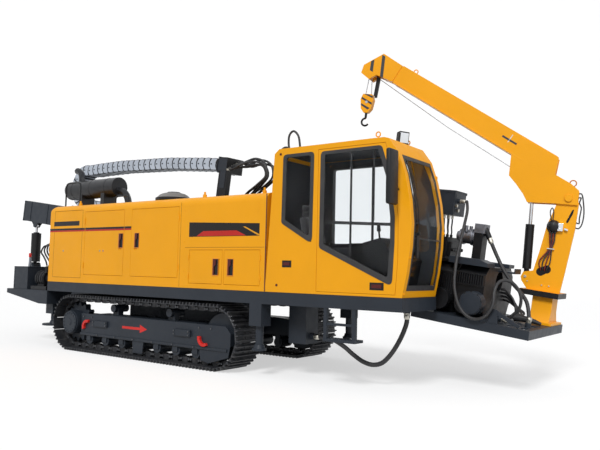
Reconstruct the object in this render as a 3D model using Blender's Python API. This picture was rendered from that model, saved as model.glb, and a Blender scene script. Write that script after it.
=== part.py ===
"""Horizontal directional drill: crawler carrier, engine hood, cab, tilting drill frame and loading crane.

Metres, +Z up, +X towards the drill frame's front platform, +Y to the operator's left.
The model stands on Z = 0 and the origin lies under the middle of its bounding box.
"""

import math

import bmesh
import bpy
from mathutils import Matrix, Vector

# Overall and shared clearances
WIDTH = 2.50
SEAT_GAP = 0.0003
PANEL_GAP = 0.004
PIN_PLAY = 0.0015

# Crawler tracks
TRACK_LENGTH = 4.36
TRACK_HEIGHT = 0.95
SHOE_WIDTH = 0.55
SHOE_COUNT = 46
LUG_HEIGHT = 0.028
SHOE_THICKNESS = 0.022
LINK_DEPTH = 0.080
LINK_WIDTH = 0.17
TRACK_FRAME_WIDTH = 0.34
TRACK_FRAME_BOTTOM = 0.31
TRACK_FRAME_TOP = 0.64
ROLLER_RADIUS = 0.09
ROLLER_COUNT = 7
ROLLER_PITCH = 0.42
CARRIER_RADIUS = 0.065
CARRIER_STATIONS = (-0.72, 0.62)
WHEEL_WIDTH = 0.11

# Chassis
DECK_TOP = 1.155
DECK_DEPTH = 0.165
DECK_REAR = -2.37
CAB_DECK_FRONT = 4.67
DRILL_DECK_FRONT = 3.40
BODY_WIDTH = 0.92
DECK_WALL = 0.06
BRACKET_TIP = -3.69
BRACKET_WIDTH = 0.50
BRACKET_TOP = 0.99
LONGERON_REAR = -5.05
LONGERON_WIDTH = 0.24
LONGERON_TOP = 0.97
LONGERON_DEPTH = 0.17
LONGERON_LAP = 0.15

# Stabiliser jacks
FRONT_JACK_X = 2.475
REAR_JACK_X = -2.50
JACK_SLEEVE = 0.21
JACK_ROD_RADIUS = 0.055
FRONT_SLEEVE_BOTTOM = 0.69
REAR_SLEEVE_BOTTOM = 0.57
FRONT_FOOT_RADIUS = 0.10
REAR_FOOT_RADIUS = 0.20
FOOT_THICKNESS = 0.03
JACK_FOOT_HEIGHT = 0.36
JACK_TOP_DROP = 0.05

# Engine hood
HOOD_FRONT = 2.63
HOOD_TOP = 2.50
HOOD_WALL = 0.04
HOOD_CORNER = 0.12
DOOR_SKIN = 0.02
DOOR_LIP = 0.03

# Cab
CAB_ROOF = 3.06
CAB_WALL = 0.06
CAB_FLOOR = 0.05
GLASS = 0.008
CAB_DOOR_REAR = 3.46
CAB_DOOR_SKIN = 0.03
CAB_PILLAR = 0.075
SCREEN_SILL = 1.24
SCREEN_HEAD = 2.84

# Drill frame, measured along its own slope from the tilt pivot
TILT_PIVOT = Vector((3.10, 0.0, 1.23))
TILT_DEGREES = 7.5
DRILL_LINE_Y = 0.51
DRILL_FRAME_WIDTH = 1.32
RAIL_WIDTH = 0.15
RAIL_BOTTOM = 0.10
RAIL_TOP = 0.53
FRAME_REAR = -8.32
FRAME_FRONT = 1.30
PIPE_HEIGHT = 0.40
TILT_PIN_RADIUS = 0.035
LIFT_X = -4.70
LIFT_PIN_Z = 1.44
LIFT_BARREL_RADIUS = 0.10
LIFT_BARREL_TOP = 2.12
LIFT_ROD_RADIUS = 0.028
LIFT_EYE_DROP = 0.06

# Front platform and vise
PLATFORM_REAR = 1.20
PLATFORM_FRONT = 2.73
PLATFORM_WIDTH = 1.48
PLATFORM_TOP = -0.078
PLATFORM_DEPTH = 0.112

# Loading crane, measured from its slew axis on the platform
CRANE_U = 2.55
CRANE_Y = 0.95
SLEW_REST = 12.0
SHELF_TOP = 0.35
COLUMN_WIDTH = 0.20
BOOM_PIVOT = (-0.12, 1.60)
BOOM_REST = 27.3
LUFF_BARREL_PIN = (0.286, 0.512)
LUFF_EYE = (0.335, 1.545)
LUFF_BARREL_RADIUS = 0.058
LUFF_ROD_RADIUS = 0.026
BOOM_WIDTH = 0.24
BOOM_WALL = 0.012
CHEEK = 0.015

# Free hoses: each radius, and the places of the fittings they run between
MUD_HOSE_RADIUS = 0.03
MUD_HOSE_Y = -0.70
MUD_OUTLET = (3.08, 0.56)
MUD_INLET = (4.45, 0.95)
LOOP_HOSE_RADIUS = 0.02
VALVE_OUTLET = (1.44, 0.34, 1.40)
PLATFORM_SOCKET = (2.30, 0.04, -0.03)
DIAGONAL_HOSE_RADIUS = 0.025
MOTOR_PORT = Vector((1.90, 0.36, 0.95))
MOTOR_PORT_AIM = Vector((0.5, 0.0, -0.866)).normalized()
FRONT_SOCKET = (2.60, 0.135, -0.02)

HALF = WIDTH / 2
BODY_INNER = -HALF + BODY_WIDTH
TRACK_Y = HALF - SHOE_WIDTH / 2
AXLE_Z = TRACK_HEIGHT / 2
AXLE_X = TRACK_LENGTH / 2 - AXLE_Z
DECK_BOTTOM = DECK_TOP - DECK_DEPTH
SHOE_RADIUS = AXLE_Z - LUG_HEIGHT
LINK_RADIUS = SHOE_RADIUS - SHOE_THICKNESS
WHEEL_RADIUS = LINK_RADIUS - LINK_DEPTH
# Each link is straight, so a wheel that the track bends round touches the middle of the links
LINK_BEND = (2 * AXLE_X + math.pi * LINK_RADIUS) / (SHOE_COUNT * LINK_RADIUS)
WHEEL_SEAT = WHEEL_RADIUS * math.cos(LINK_BEND) - SEAT_GAP
SIDES = {"R": -1, "L": 1}


for old in list(bpy.data.objects):
    bpy.data.objects.remove(old, do_unlink=True)

parts = bpy.data.collections.new("directional_drill")
bpy.context.scene.collection.children.link(parts)
cutters = bpy.data.collections.new("cutters")
bpy.context.scene.collection.children.link(cutters)


# Modelling helpers

def material(name, colour, roughness, metallic=0.0, alpha=1.0):
    made = bpy.data.materials.new(name)
    made.use_nodes = True
    shader = made.node_tree.nodes["Principled BSDF"]
    shader.inputs["Base Color"].default_value = (*colour, 1.0)
    shader.inputs["Roughness"].default_value = roughness
    shader.inputs["Metallic"].default_value = metallic
    shader.inputs["Alpha"].default_value = alpha
    return made


YELLOW = (0.86, 0.40, 0.012)
SLATE = (0.042, 0.048, 0.062)
BLACK = (0.012, 0.012, 0.014)
STEEL = (0.45, 0.46, 0.48)


def helper(name, data):
    made = bpy.data.objects.new(name, data)
    cutters.objects.link(made)
    made.hide_render = True
    made.display_type = "WIRE"
    return made


def from_bmesh(name, bm):
    data = bpy.data.meshes.new(name)
    bm.to_mesh(data)
    bm.free()
    return helper(name, data)


def block(low, high):
    """A box from its lowest to its highest corner."""
    low, high = Vector(low), Vector(high)
    bm = bmesh.new()
    size = Matrix.Diagonal((*(high - low), 1.0))
    bmesh.ops.create_cube(bm, size=1.0, matrix=Matrix.Translation((low + high) / 2) @ size)
    return from_bmesh("block", bm)


def drum(start, end, radius, sides=20, end_radius=None):
    """A round bar or cone between two points."""
    start, end = Vector(start), Vector(end)
    along = end - start
    turn = along.to_track_quat("Z", "Y").to_matrix().to_4x4()
    place = Matrix.Translation((start + end) / 2) @ turn
    bm = bmesh.new()
    last = radius if end_radius is None else end_radius
    bmesh.ops.create_cone(
        bm, cap_ends=True, segments=sides, radius1=radius, radius2=last, depth=along.length, matrix=place
    )
    return from_bmesh("drum", bm)


def welded(curve_object, flat=False):
    """The mesh of a curve, with its caps welded on and a flat one's thin cap faces evened out."""
    depsgraph = bpy.context.evaluated_depsgraph_get()
    data = bpy.data.meshes.new_from_object(curve_object.evaluated_get(depsgraph))
    bm = bmesh.new()
    bm.from_mesh(data)
    bmesh.ops.remove_doubles(bm, verts=bm.verts, dist=0.00001)
    if flat:
        caps = {f for f in bm.faces if len({round(v.co.z, 6) for v in f.verts}) == 1}
        inner = [e for e in bm.edges if len(e.link_faces) == 2 and caps.issuperset(e.link_faces)]
        bmesh.ops.beautify_fill(bm, faces=list(caps), edges=inner, method="ANGLE")
    bmesh.ops.recalc_face_normals(bm, faces=bm.faces)
    bm.to_mesh(data)
    bm.free()
    data.materials.clear()
    made = helper("solid", data)
    made.matrix_world = curve_object.matrix_world
    bpy.data.objects.remove(curve_object, do_unlink=True)
    return made


PLANES = {
    "XZ": Matrix(((1, 0, 0, 0), (0, 0, -1, 0), (0, 1, 0, 0), (0, 0, 0, 1))),
    "YZ": Matrix(((0, 0, 1, 0), (1, 0, 0, 0), (0, 1, 0, 0), (0, 0, 0, 1))),
    "XY": Matrix.Identity(4),
}
ACROSS = {"XZ": Vector((0, 1, 0)), "YZ": Vector((1, 0, 0)), "XY": Vector((0, 0, 1))}


def slab(plane, outline, near, far, holes=()):
    """A flat outline in one plane, extruded from near to far across it."""
    data = bpy.data.curves.new("outline", "CURVE")
    data.dimensions = "2D"
    data.fill_mode = "BOTH"
    data.extrude = (far - near) / 2
    for ring in (outline, *holes):
        spline = data.splines.new("POLY")
        spline.points.add(len(ring) - 1)
        for point, (a, b) in zip(spline.points, ring):
            point.co = (a, b, 0.0, 1.0)
        spline.use_cyclic_u = True
    made = helper("outline", data)
    made.matrix_world = Matrix.Translation(ACROSS[plane] * (near + far) / 2) @ PLANES[plane]
    bpy.context.view_layer.update()
    return welded(made, flat=True)


def smooth_route(points, spacing):
    """Points at about one spacing along a smooth curve through a route's own points."""
    points = [Vector(p) for p in points]
    ends = [points[0] * 2 - points[1], *points, points[-1] * 2 - points[-2]]
    route = []
    for before, a, b, after in zip(ends, ends[1:], ends[2:], ends[3:]):
        steps = max(1, round((b - a).length / spacing))
        for step in range(steps):
            t = step / steps
            route.append(0.5 * (
                2 * a + (b - before) * t + (2 * before - 5 * a + 4 * b - after) * t * t
                + (3 * a - before - 3 * b + after) * t ** 3
            ))
    return [*route, points[-1]]


def tube(points, radius, resolution=2):
    """A round tube along a row of points."""
    data = bpy.data.curves.new("tube", "CURVE")
    data.dimensions = "3D"
    data.bevel_depth = radius
    data.bevel_resolution = resolution
    data.use_fill_caps = True
    spline = data.splines.new("POLY")
    spline.points.add(len(points) - 1)
    for point, place in zip(spline.points, points):
        point.co = (*place, 1.0)
    made = helper("tube", data)
    bpy.context.view_layer.update()
    return welded(made)


def arc(centre, radius, start, end, steps):
    """Points on an arc, in degrees anticlockwise."""
    turn = (end - start) / steps
    angles = [math.radians(start + turn * i) for i in range(steps + 1)]
    return [(centre[0] + radius * math.cos(a), centre[1] + radius * math.sin(a)) for a in angles]


def inset(outline, distance):
    """A convex outline, given anticlockwise, moved inwards by one distance."""
    count = len(outline)
    moved = []
    for i in range(count):
        before = Vector(outline[i - 1])
        here = Vector(outline[i])
        after = Vector(outline[(i + 1) % count])
        first = (here - before).normalized()
        second = (after - here).normalized()
        inward = Vector((-first.y, first.x)) + Vector((-second.y, second.x))
        reach = distance / (1 + first.dot(second)) * 1.0
        moved.append(tuple(here + inward * reach))
    return moved


def round_edges(solid, chosen, radius, segments=4):
    """Bevels the edges whose middle passes a test."""
    bm = bmesh.new()
    bm.from_mesh(solid.data)
    edges = [e for e in bm.edges if chosen((e.verts[0].co + e.verts[1].co) / 2)]
    bmesh.ops.bevel(bm, geom=edges, offset=radius, segments=segments, affect="EDGES", profile=0.5)
    bm.to_mesh(solid.data)
    bm.free()
    return solid


def fused(solids, cuts=()):
    """One solid: all the solids joined, then every cut taken out."""
    base = solids[0]
    for kind, others in (("UNION", solids[1:]), ("DIFFERENCE", cuts)):
        for other in others:
            boolean = base.modifiers.new(kind, "BOOLEAN")
            boolean.operation = kind
            boolean.solver = "EXACT"
            boolean.object = other
    if not base.modifiers:
        return base
    bpy.context.view_layer.update()
    depsgraph = bpy.context.evaluated_depsgraph_get()
    data = bpy.data.meshes.new_from_object(base.evaluated_get(depsgraph))
    made = helper("solid", data)
    made.matrix_world = base.matrix_world
    for used in (*solids, *cuts):
        bpy.data.objects.remove(used, do_unlink=True)
    return made


def part(name, solid, finish, parent, smooth=35.0):
    """Files a finished solid as one named piece, under the empty that carries it."""
    solid.data.transform(solid.matrix_world)
    solid.matrix_world = Matrix.Identity(4)
    solid.name = name
    solid.data.name = name
    solid.data.materials.clear()
    solid.data.materials.append(finish)
    solid.data.shade_smooth()
    solid.data.set_sharp_from_angle(angle=math.radians(smooth))
    cutters.objects.unlink(solid)
    parts.objects.link(solid)
    solid.hide_render = False
    solid.display_type = "TEXTURED"
    solid.parent = parent
    return solid


def axis_empty(name, place, parent, turn=(0.0, 0.0, 0.0)):
    """An empty on a joint's axis."""
    made = bpy.data.objects.new(name, None)
    parts.objects.link(made)
    made.empty_display_size = 0.2
    made.location = place
    made.rotation_euler = [math.radians(a) for a in turn]
    made.parent = parent
    return made


datum = axis_empty("datum", (0, 0, 0), None)


# Crawler tracks: one closed loop of lugged shoes on a ring of links

def loop_point(share, radius):
    """A point a share of the way round the loop, at a distance from its straight core."""
    straight = 2 * AXLE_X
    bend = math.pi * LINK_RADIUS
    run = (share % 1.0) * 2 * (straight + bend)
    if run < straight:
        return (-AXLE_X + run, AXLE_Z + radius)
    run -= straight
    if run < bend:
        angle = math.pi / 2 - run / LINK_RADIUS
        return (AXLE_X + radius * math.cos(angle), AXLE_Z + radius * math.sin(angle))
    run -= bend
    if run < straight:
        return (AXLE_X - run, AXLE_Z - radius)
    run -= straight
    angle = -math.pi / 2 - run / LINK_RADIUS
    return (-AXLE_X + radius * math.cos(angle), AXLE_Z + radius * math.sin(angle))


def link_ring(radius):
    """The loop's outline at one radius, with a point at the middle of each shoe."""
    return [loop_point((i + 0.5) / SHOE_COUNT, radius) for i in range(SHOE_COUNT)]


def track(side, name):
    # (share of one shoe, height above the shoe's back)
    shoe = (
        (0.00, 0.4 * SHOE_THICKNESS),
        (0.04, SHOE_THICKNESS),
        (0.42, SHOE_THICKNESS),
        (0.46, SHOE_THICKNESS + LUG_HEIGHT),
        (0.54, SHOE_THICKNESS + LUG_HEIGHT),
        (0.58, SHOE_THICKNESS),
        (0.96, SHOE_THICKNESS),
    )
    outer = []
    for i in range(SHOE_COUNT):
        outer += [loop_point((i + share) / SHOE_COUNT, LINK_RADIUS + rise) for share, rise in shoe]
    y = side * TRACK_Y
    shoes = slab("XZ", outer, y - SHOE_WIDTH / 2, y + SHOE_WIDTH / 2, [link_ring(LINK_RADIUS)])
    links = slab(
        "XZ", link_ring(LINK_RADIUS + 0.3 * SHOE_THICKNESS), y - LINK_WIDTH / 2, y + LINK_WIDTH / 2,
        [link_ring(WHEEL_RADIUS)],
    )
    finish = material("track_steel_" + name, (0.03, 0.03, 0.034), 0.55, 0.6)
    return part("track_" + name, fused([shoes, links]), finish, datum)


def track_frame(side, name):
    y = side * TRACK_Y
    low = y - TRACK_FRAME_WIDTH / 2
    high = y + TRACK_FRAME_WIDTH / 2
    rear = -AXLE_X + 0.40
    front = AXLE_X + 0.25
    bevel = 0.14
    outline = [
        (rear, TRACK_FRAME_BOTTOM), (front, TRACK_FRAME_BOTTOM + 0.05), (front, AXLE_Z + 0.06),
        (front - bevel, TRACK_FRAME_TOP - 0.04), (AXLE_X - 0.45, TRACK_FRAME_TOP),
        (rear + bevel, TRACK_FRAME_TOP), (rear, TRACK_FRAME_TOP - bevel),
    ]
    solids = [slab("XZ", outline, low, high)]
    inner = side * (TRACK_Y - TRACK_FRAME_WIDTH / 2)
    hub = side * (TRACK_Y - TRACK_FRAME_WIDTH / 2 + 0.05)
    motor_plate = [
        (-AXLE_X - 0.17, AXLE_Z - 0.14), (rear + 0.15, TRACK_FRAME_BOTTOM + 0.02),
        (rear + 0.15, TRACK_FRAME_TOP - 0.02), (-AXLE_X - 0.17, AXLE_Z + 0.14),
    ]
    solids.append(slab("XZ", motor_plate, min(inner, hub), max(inner, hub)))
    roller_z = AXLE_Z - WHEEL_RADIUS + ROLLER_RADIUS + SEAT_GAP
    first = -ROLLER_PITCH * (ROLLER_COUNT - 1) / 2
    for i in range(ROLLER_COUNT):
        x = first + i * ROLLER_PITCH
        solids.append(drum((x, low + 0.02, roller_z), (x, high - 0.02, roller_z), ROLLER_RADIUS, 12))
        for end in (low, high - 0.03):
            hanger = block((x - 0.05, end, roller_z - 0.03), (x + 0.05, end + 0.03, TRACK_FRAME_BOTTOM + 0.08))
            solids.append(hanger)
    carrier_z = AXLE_Z + WHEEL_RADIUS - CARRIER_RADIUS - SEAT_GAP
    for x in CARRIER_STATIONS:
        solids.append(drum((x, low + 0.06, carrier_z), (x, high, carrier_z), CARRIER_RADIUS, 12))
        foot = block((x - 0.07, y - 0.05, TRACK_FRAME_TOP - 0.02), (x + 0.07, y + 0.05, carrier_z))
        solids.append(foot)
    slot = block(
        (AXLE_X - WHEEL_RADIUS - 0.03, y - WHEEL_WIDTH / 2 - SEAT_GAP, 0.0),
        (AXLE_X + WHEEL_RADIUS + 0.1, y + WHEEL_WIDTH / 2 + SEAT_GAP, TRACK_HEIGHT),
    )
    finish = material("track_frame_paint_" + name, SLATE, 0.5)
    return part("track_frame_" + name, fused(solids, [slot]), finish, datum)


def idler(side, name):
    y = side * TRACK_Y
    half = WHEEL_WIDTH / 2
    rim = drum((AXLE_X, y - half, AXLE_Z), (AXLE_X, y + half, AXLE_Z), WHEEL_SEAT, 32)
    finish = material("idler_paint_" + name, SLATE, 0.5)
    return part("idler_" + name, rim, finish, datum)


def sprocket(side, name):
    y = side * TRACK_Y
    half = WHEEL_WIDTH / 2
    teeth = 14
    outline = []
    # (share of one tooth, share of the wheel's radius)
    tooth = ((0.08, 0.84), (0.32, 1.0), (0.58, 1.0), (0.82, 0.84))
    for i in range(teeth):
        for share, reach in tooth:
            angle = 2 * math.pi * (i + share) / teeth
            radius = WHEEL_SEAT * reach
            outline.append((-AXLE_X + radius * math.cos(angle), AXLE_Z + radius * math.sin(angle)))
    wheel = slab("XZ", outline, y - half, y + half)
    outer = side * (TRACK_Y + SHOE_WIDTH / 2 - 0.05)
    inner = side * (TRACK_Y - TRACK_FRAME_WIDTH / 2 + 0.05 + SEAT_GAP)
    hub = drum((-AXLE_X, y, AXLE_Z), (-AXLE_X, outer, AXLE_Z), 0.20, 18)
    cap = drum((-AXLE_X, outer - side * 0.02, AXLE_Z), (-AXLE_X, outer + side * 0.02, AXLE_Z), 0.15, 18)
    gearcase = drum((-AXLE_X, y, AXLE_Z), (-AXLE_X, inner, AXLE_Z), 0.17, 18)
    finish = material("sprocket_paint_" + name, SLATE, 0.5)
    return part("sprocket_" + name, fused([wheel, hub, cap, gearcase]), finish, datum)


def undercarriage_beam():
    reach = TRACK_Y - TRACK_FRAME_WIDTH / 2 - SEAT_GAP
    solids = [block((-1.10, -0.42, 0.45), (1.10, 0.42, DECK_BOTTOM - SEAT_GAP))]
    for x in (-0.80, 0.80):
        solids.append(block((x - 0.17, -reach, 0.37), (x + 0.17, reach, 0.61)))
    finish = material("undercarriage_paint", SLATE, 0.5)
    return part("undercarriage_beam", fused(solids), finish, datum)


for name, side in SIDES.items():
    track(side, name)
    track_frame(side, name)
    idler(side, name)
    sprocket(side, name)
undercarriage_beam()


# Chassis: two deck trays and a rear frame, with jack sleeves and pivot ears

rail_y = {
    "R": DRILL_LINE_Y - DRILL_FRAME_WIDTH / 2 + RAIL_WIDTH / 2,
    "L": DRILL_LINE_Y + DRILL_FRAME_WIDTH / 2 - RAIL_WIDTH / 2,
}
LUG_WIDTH = RAIL_WIDTH - 0.04
jack_places = {
    "FR": (FRONT_JACK_X, -HALF + JACK_SLEEVE / 2, FRONT_SLEEVE_BOTTOM, FRONT_FOOT_RADIUS),
    "FL": (FRONT_JACK_X, HALF - JACK_SLEEVE / 2, FRONT_SLEEVE_BOTTOM, FRONT_FOOT_RADIUS),
    "RR": (REAR_JACK_X, -HALF + BRACKET_WIDTH / 2, REAR_SLEEVE_BOTTOM, REAR_FOOT_RADIUS),
    "RL": (REAR_JACK_X, HALF - BRACKET_WIDTH / 2, REAR_SLEEVE_BOTTOM, REAR_FOOT_RADIUS),
}


def tray(x0, x1, y0, y1, top, bays):
    """A deck of folded plate: a slab with open bays from below."""
    slab_top = top - 0.012
    solid = block((x0, y0, DECK_BOTTOM), (x1, y1, top))
    step = (x1 - x0 - DECK_WALL) / bays
    cuts = []
    for i in range(bays):
        start = x0 + DECK_WALL + i * step
        cuts.append(block(
            (start, y0 + DECK_WALL, DECK_BOTTOM - 0.1),
            (start + step - DECK_WALL, y1 - DECK_WALL, slab_top),
        ))
    return solid, cuts


def pivot_ears(x, z, y, half_base, base_z, grip):
    """Two ears that hold a pin across the lug between them, with the pin."""
    solids = []
    for offset in (-LUG_WIDTH / 2 - 0.045, LUG_WIDTH / 2 + 0.005):
        ear = [(x - half_base, base_z), (x + half_base, base_z)] + arc((x, z), grip, 0, 180, 4)
        solids.append(slab("XZ", ear, y + offset, y + offset + 0.04))
    reach = LUG_WIDTH / 2 + 0.05
    solids.append(drum((x, y - reach, z), (x, y + reach, z), TILT_PIN_RADIUS, 12))
    return solids


def jack_sleeve(name):
    """A square sleeve and the bore that its leg slides in."""
    x, y, bottom, _ = jack_places[name]
    half = JACK_SLEEVE / 2
    top = DECK_TOP - JACK_TOP_DROP
    sleeve = block((x - half, y - half, bottom), (x + half, y + half, top + 0.015))
    bore = drum((x, y, bottom - 0.1), (x, y, top + 0.008), JACK_ROD_RADIUS + 0.0006, 16)
    return sleeve, bore


def chassis_frame():
    body_deck, body_cuts = tray(DECK_REAR, CAB_DECK_FRONT, -HALF, BODY_INNER, DECK_TOP, 5)
    drill_deck, drill_cuts = tray(DECK_REAR, DRILL_DECK_FRONT, BODY_INNER - 0.05, HALF, DECK_TOP - 0.03, 4)
    deck = fused([fused([body_deck], body_cuts), fused([drill_deck], drill_cuts)])
    solids = [deck]
    for y in rail_y.values():
        solids += pivot_ears(TILT_PIVOT.x, TILT_PIVOT.z, y, 0.17, DECK_TOP - 0.05, 0.065)
    x, z = MUD_OUTLET
    solids.append(block((x - 0.34, MUD_HOSE_Y - 0.14, z - 0.10), (x - 0.05, MUD_HOSE_Y + 0.14, DECK_TOP - 0.005)))
    solids.append(drum((x - 0.06, MUD_HOSE_Y, z), (x, MUD_HOSE_Y, z), MUD_HOSE_RADIUS + 0.015, 16))
    x, z = MUD_INLET
    solids.append(drum((x, MUD_HOSE_Y, z), (x, MUD_HOSE_Y, DECK_TOP - 0.005), MUD_HOSE_RADIUS + 0.015, 16))
    cuts = []
    for name in ("FR", "FL"):
        sleeve, bore = jack_sleeve(name)
        solids.append(sleeve)
        cuts.append(bore)
    finish = material("chassis_paint", SLATE, 0.45)
    return part("chassis_frame", fused(solids, cuts), finish, datum)


def rear_frame():
    """Longerons that carry the lift cylinders, tied together, and a bracket platform on each side."""
    solids = []
    bracket = [
        (BRACKET_TIP, BRACKET_TOP), (BRACKET_TIP, BRACKET_TOP - 0.08), (-2.62, 0.75), (DECK_REAR - SEAT_GAP, 0.75),
        (DECK_REAR - SEAT_GAP, BRACKET_TOP),
    ]
    for side in SIDES.values():
        edges = sorted((side * HALF, side * (HALF - BRACKET_WIDTH)))
        solids.append(slab("XZ", bracket, *edges))
    for y in rail_y.values():
        low, high = y - LONGERON_WIDTH / 2, y + LONGERON_WIDTH / 2
        front = DECK_REAR + LONGERON_LAP
        solids.append(block((LONGERON_REAR, low, LONGERON_TOP - LONGERON_DEPTH), (front, high, LONGERON_TOP)))
        solids.append(block((DECK_REAR, low, LONGERON_TOP - 0.02), (front, high, DECK_BOTTOM - SEAT_GAP)))
        solids += pivot_ears(LIFT_X, LIFT_PIN_Z, y, 0.16, LONGERON_TOP - 0.02, 0.06)
    ties = ((LONGERON_REAR, LONGERON_REAR + 0.16), (BRACKET_TIP + 0.25, BRACKET_TIP + 0.41))
    for x0, x1 in ties:
        tie = block((x0, rail_y["R"], LONGERON_TOP - 0.15), (x1, rail_y["L"], LONGERON_TOP - 0.02))
        solids.append(tie)
    cross_low = (BRACKET_TIP + 0.25, -HALF + 0.2, LONGERON_TOP - 0.08)
    cross_high = (BRACKET_TIP + 0.41, HALF - 0.2, LONGERON_TOP - 0.03)
    solids.append(block(cross_low, cross_high))
    cuts = []
    for name in ("RR", "RL"):
        sleeve, bore = jack_sleeve(name)
        solids.append(sleeve)
        cuts.append(bore)
    finish = material("rear_frame_paint", SLATE, 0.45)
    return part("rear_frame", fused(solids, cuts), finish, datum)


def jack_leg(name, x, y, bottom, foot_radius):
    axis = axis_empty("axis_jack_" + name, (x, y, JACK_FOOT_HEIGHT), datum)
    rod = drum((0, 0, 0.01), (0, 0, DECK_TOP - JACK_TOP_DROP - JACK_FOOT_HEIGHT), JACK_ROD_RADIUS, 16)
    foot = drum((0, 0, 0), (0, 0, FOOT_THICKNESS), foot_radius, 20)
    collar = drum((0, 0, FOOT_THICKNESS - 0.005), (0, 0, FOOT_THICKNESS + 0.05), 0.085, 16, 0.065)
    finish = material("jack_steel_" + name, SLATE, 0.45)
    return part("jack_leg_" + name, fused([rod, foot, collar]), finish, axis)


chassis_frame()
rear_frame()
for name, place in jack_places.items():
    jack_leg(name, *place)


# Engine hood: hollow shell with four hinged doors on the operator's right

# name, rear edge, front edge, sill, head, hinge edge
hood_doors = (
    ("1", -1.34, -0.32, 1.30, 2.36, "rear"),
    ("2", -0.13, 0.94, 1.30, 2.36, "front"),
    ("3", 1.19, 1.84, 1.23, 1.71, "rear"),
    ("4", 1.88, 2.53, 1.23, 1.71, "front"),
)


def hood_shell():
    outer = block((DECK_REAR, -HALF, DECK_TOP + SEAT_GAP), (HOOD_FRONT, BODY_INNER, HOOD_TOP))
    top_mid = HOOD_TOP - 0.001
    outer = round_edges(
        outer, lambda m: m.z > top_mid and m.x < HOOD_FRONT - 0.001, HOOD_CORNER, 5
    )
    inner = block(
        (DECK_REAR + HOOD_WALL, -HALF + HOOD_WALL, DECK_TOP - 0.1),
        (HOOD_FRONT - HOOD_WALL, BODY_INNER - HOOD_WALL, HOOD_TOP - HOOD_WALL),
    )
    inner = round_edges(inner, lambda m: m.z > HOOD_TOP - HOOD_WALL - 0.001, HOOD_CORNER - HOOD_WALL, 3)
    cuts = [inner]
    for _, rear, front, sill, head, _ in hood_doors:
        gap = PANEL_GAP
        cuts.append(block(
            (rear - gap, -HALF - 0.1, sill - gap), (front + gap, -HALF + DOOR_SKIN, head + gap)
        ))
        cuts.append(block(
            (rear + DOOR_LIP, -HALF - 0.1, sill + DOOR_LIP),
            (front - DOOR_LIP, -HALF + HOOD_WALL + 0.05, head - DOOR_LIP),
        ))
    finish = material("hood_paint", YELLOW, 0.35)
    return part("hood_shell", fused([outer], cuts), finish, datum)


def hood_door(name, rear, front, sill, head, hinge):
    hinge_x = rear if hinge == "rear" else front
    axis = axis_empty("axis_hood_door_" + name, (hinge_x, -HALF, (sill + head) / 2), datum)
    half = (head - sill) / 2
    panel = block((rear - hinge_x, 0, -half), (front - hinge_x, DOOR_SKIN - SEAT_GAP, half))
    grip_x = (front - 0.08 if hinge == "rear" else rear + 0.11) - hinge_x
    recess = block((grip_x - 0.035, -0.02, -0.11), (grip_x + 0.035, 0.012, 0.11))
    finish = material("hood_door_paint_" + name, YELLOW, 0.35)
    return part("hood_door_" + name, fused([panel], [recess]), finish, axis)


def engine_block():
    solid = block((-1.25, -HALF + 0.14, DECK_TOP + SEAT_GAP), (0.55, BODY_INNER - 0.14, 2.05))
    finish = material("engine_paint", (0.10, 0.11, 0.12), 0.6)
    return part("engine_block", solid, finish, datum)


def muffler():
    y = -0.60
    z = 2.865
    radius = 0.175
    rear, front = -2.70, -1.30
    body = drum((rear, y, z), (front, y, z), radius, 24)
    solids = [body]
    for x in (-2.25, -1.60):
        solids.append(block((x - 0.05, y - 0.14, HOOD_TOP + SEAT_GAP), (x + 0.05, y + 0.14, z - 0.08)))
    elbow = [(-2.42, y, z), (-2.42, y, z + 0.24), (-2.44, y, z + 0.31), (-2.50, y, z + 0.36), (-2.58, y, z + 0.38)]
    solids.append(tube(smooth_route(elbow, 0.06), 0.062, 2))
    inlet_route = [(front - 0.05, y, z - 0.05), (front + 0.10, y, z - 0.08), (front + 0.20, y, z - 0.16)]
    inlet_route += [(front + 0.25, y, z - 0.26), (front + 0.26, y, HOOD_TOP + 0.05)]
    inlet_route += [(front + 0.26, y, HOOD_TOP + SEAT_GAP)]
    solids.append(tube(smooth_route(inlet_route, 0.07), 0.06, 2))
    finish = material("muffler_paint", BLACK, 0.55)
    return part("muffler", fused(solids), finish, datum)


def vent_dome():
    y = -0.60
    x = 0.11
    rise = 0.11
    base = HOOD_TOP + SEAT_GAP
    brim = drum((x, y, base + 0.05), (x, y, base + 0.09), 0.30, 20)
    crown = drum((x, y, base + 0.085), (x, y, base + 0.085 + rise), 0.26, 20, 0.10)
    neck = drum((x, y, base), (x, y, base + 0.06), 0.22, 16)
    finish = material("vent_dome_paint", (0.30, 0.31, 0.33), 0.5)
    return part("vent_dome", fused([neck, brim, crown]), finish, datum)


def hood_rail(name, x0, x1, rise):
    y = -HALF + HOOD_CORNER + 0.06
    base = HOOD_TOP + SEAT_GAP
    bend = 0.06
    route = [(x0, y, base), (x0, y, base + rise - bend), (x0 + 0.3 * bend, y, base + rise - 0.3 * bend)]
    route += [(x0 + bend, y, base + rise), (x1 - bend, y, base + rise)]
    route += [(x1 - 0.3 * bend, y, base + rise - 0.3 * bend), (x1, y, base + rise - bend), (x1, y, base)]
    finish = material("hood_rail_paint_" + name, BLACK, 0.5)
    return part("hood_rail_" + name, tube(route, 0.014, 2), finish, datum)


hood_shell()
for row in hood_doors:
    hood_door(*row)
engine_block()
muffler()
vent_dome()
hood_rail("rear", -2.20, -1.78, 0.42)
hood_rail("front", -0.80, -0.45, 0.12)


# Cab: hollow shell with a bowed windscreen, a hinged door and fixed panes

CAB_BASE = DECK_TOP + SEAT_GAP
CAB_REAR = HOOD_FRONT + SEAT_GAP
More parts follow.
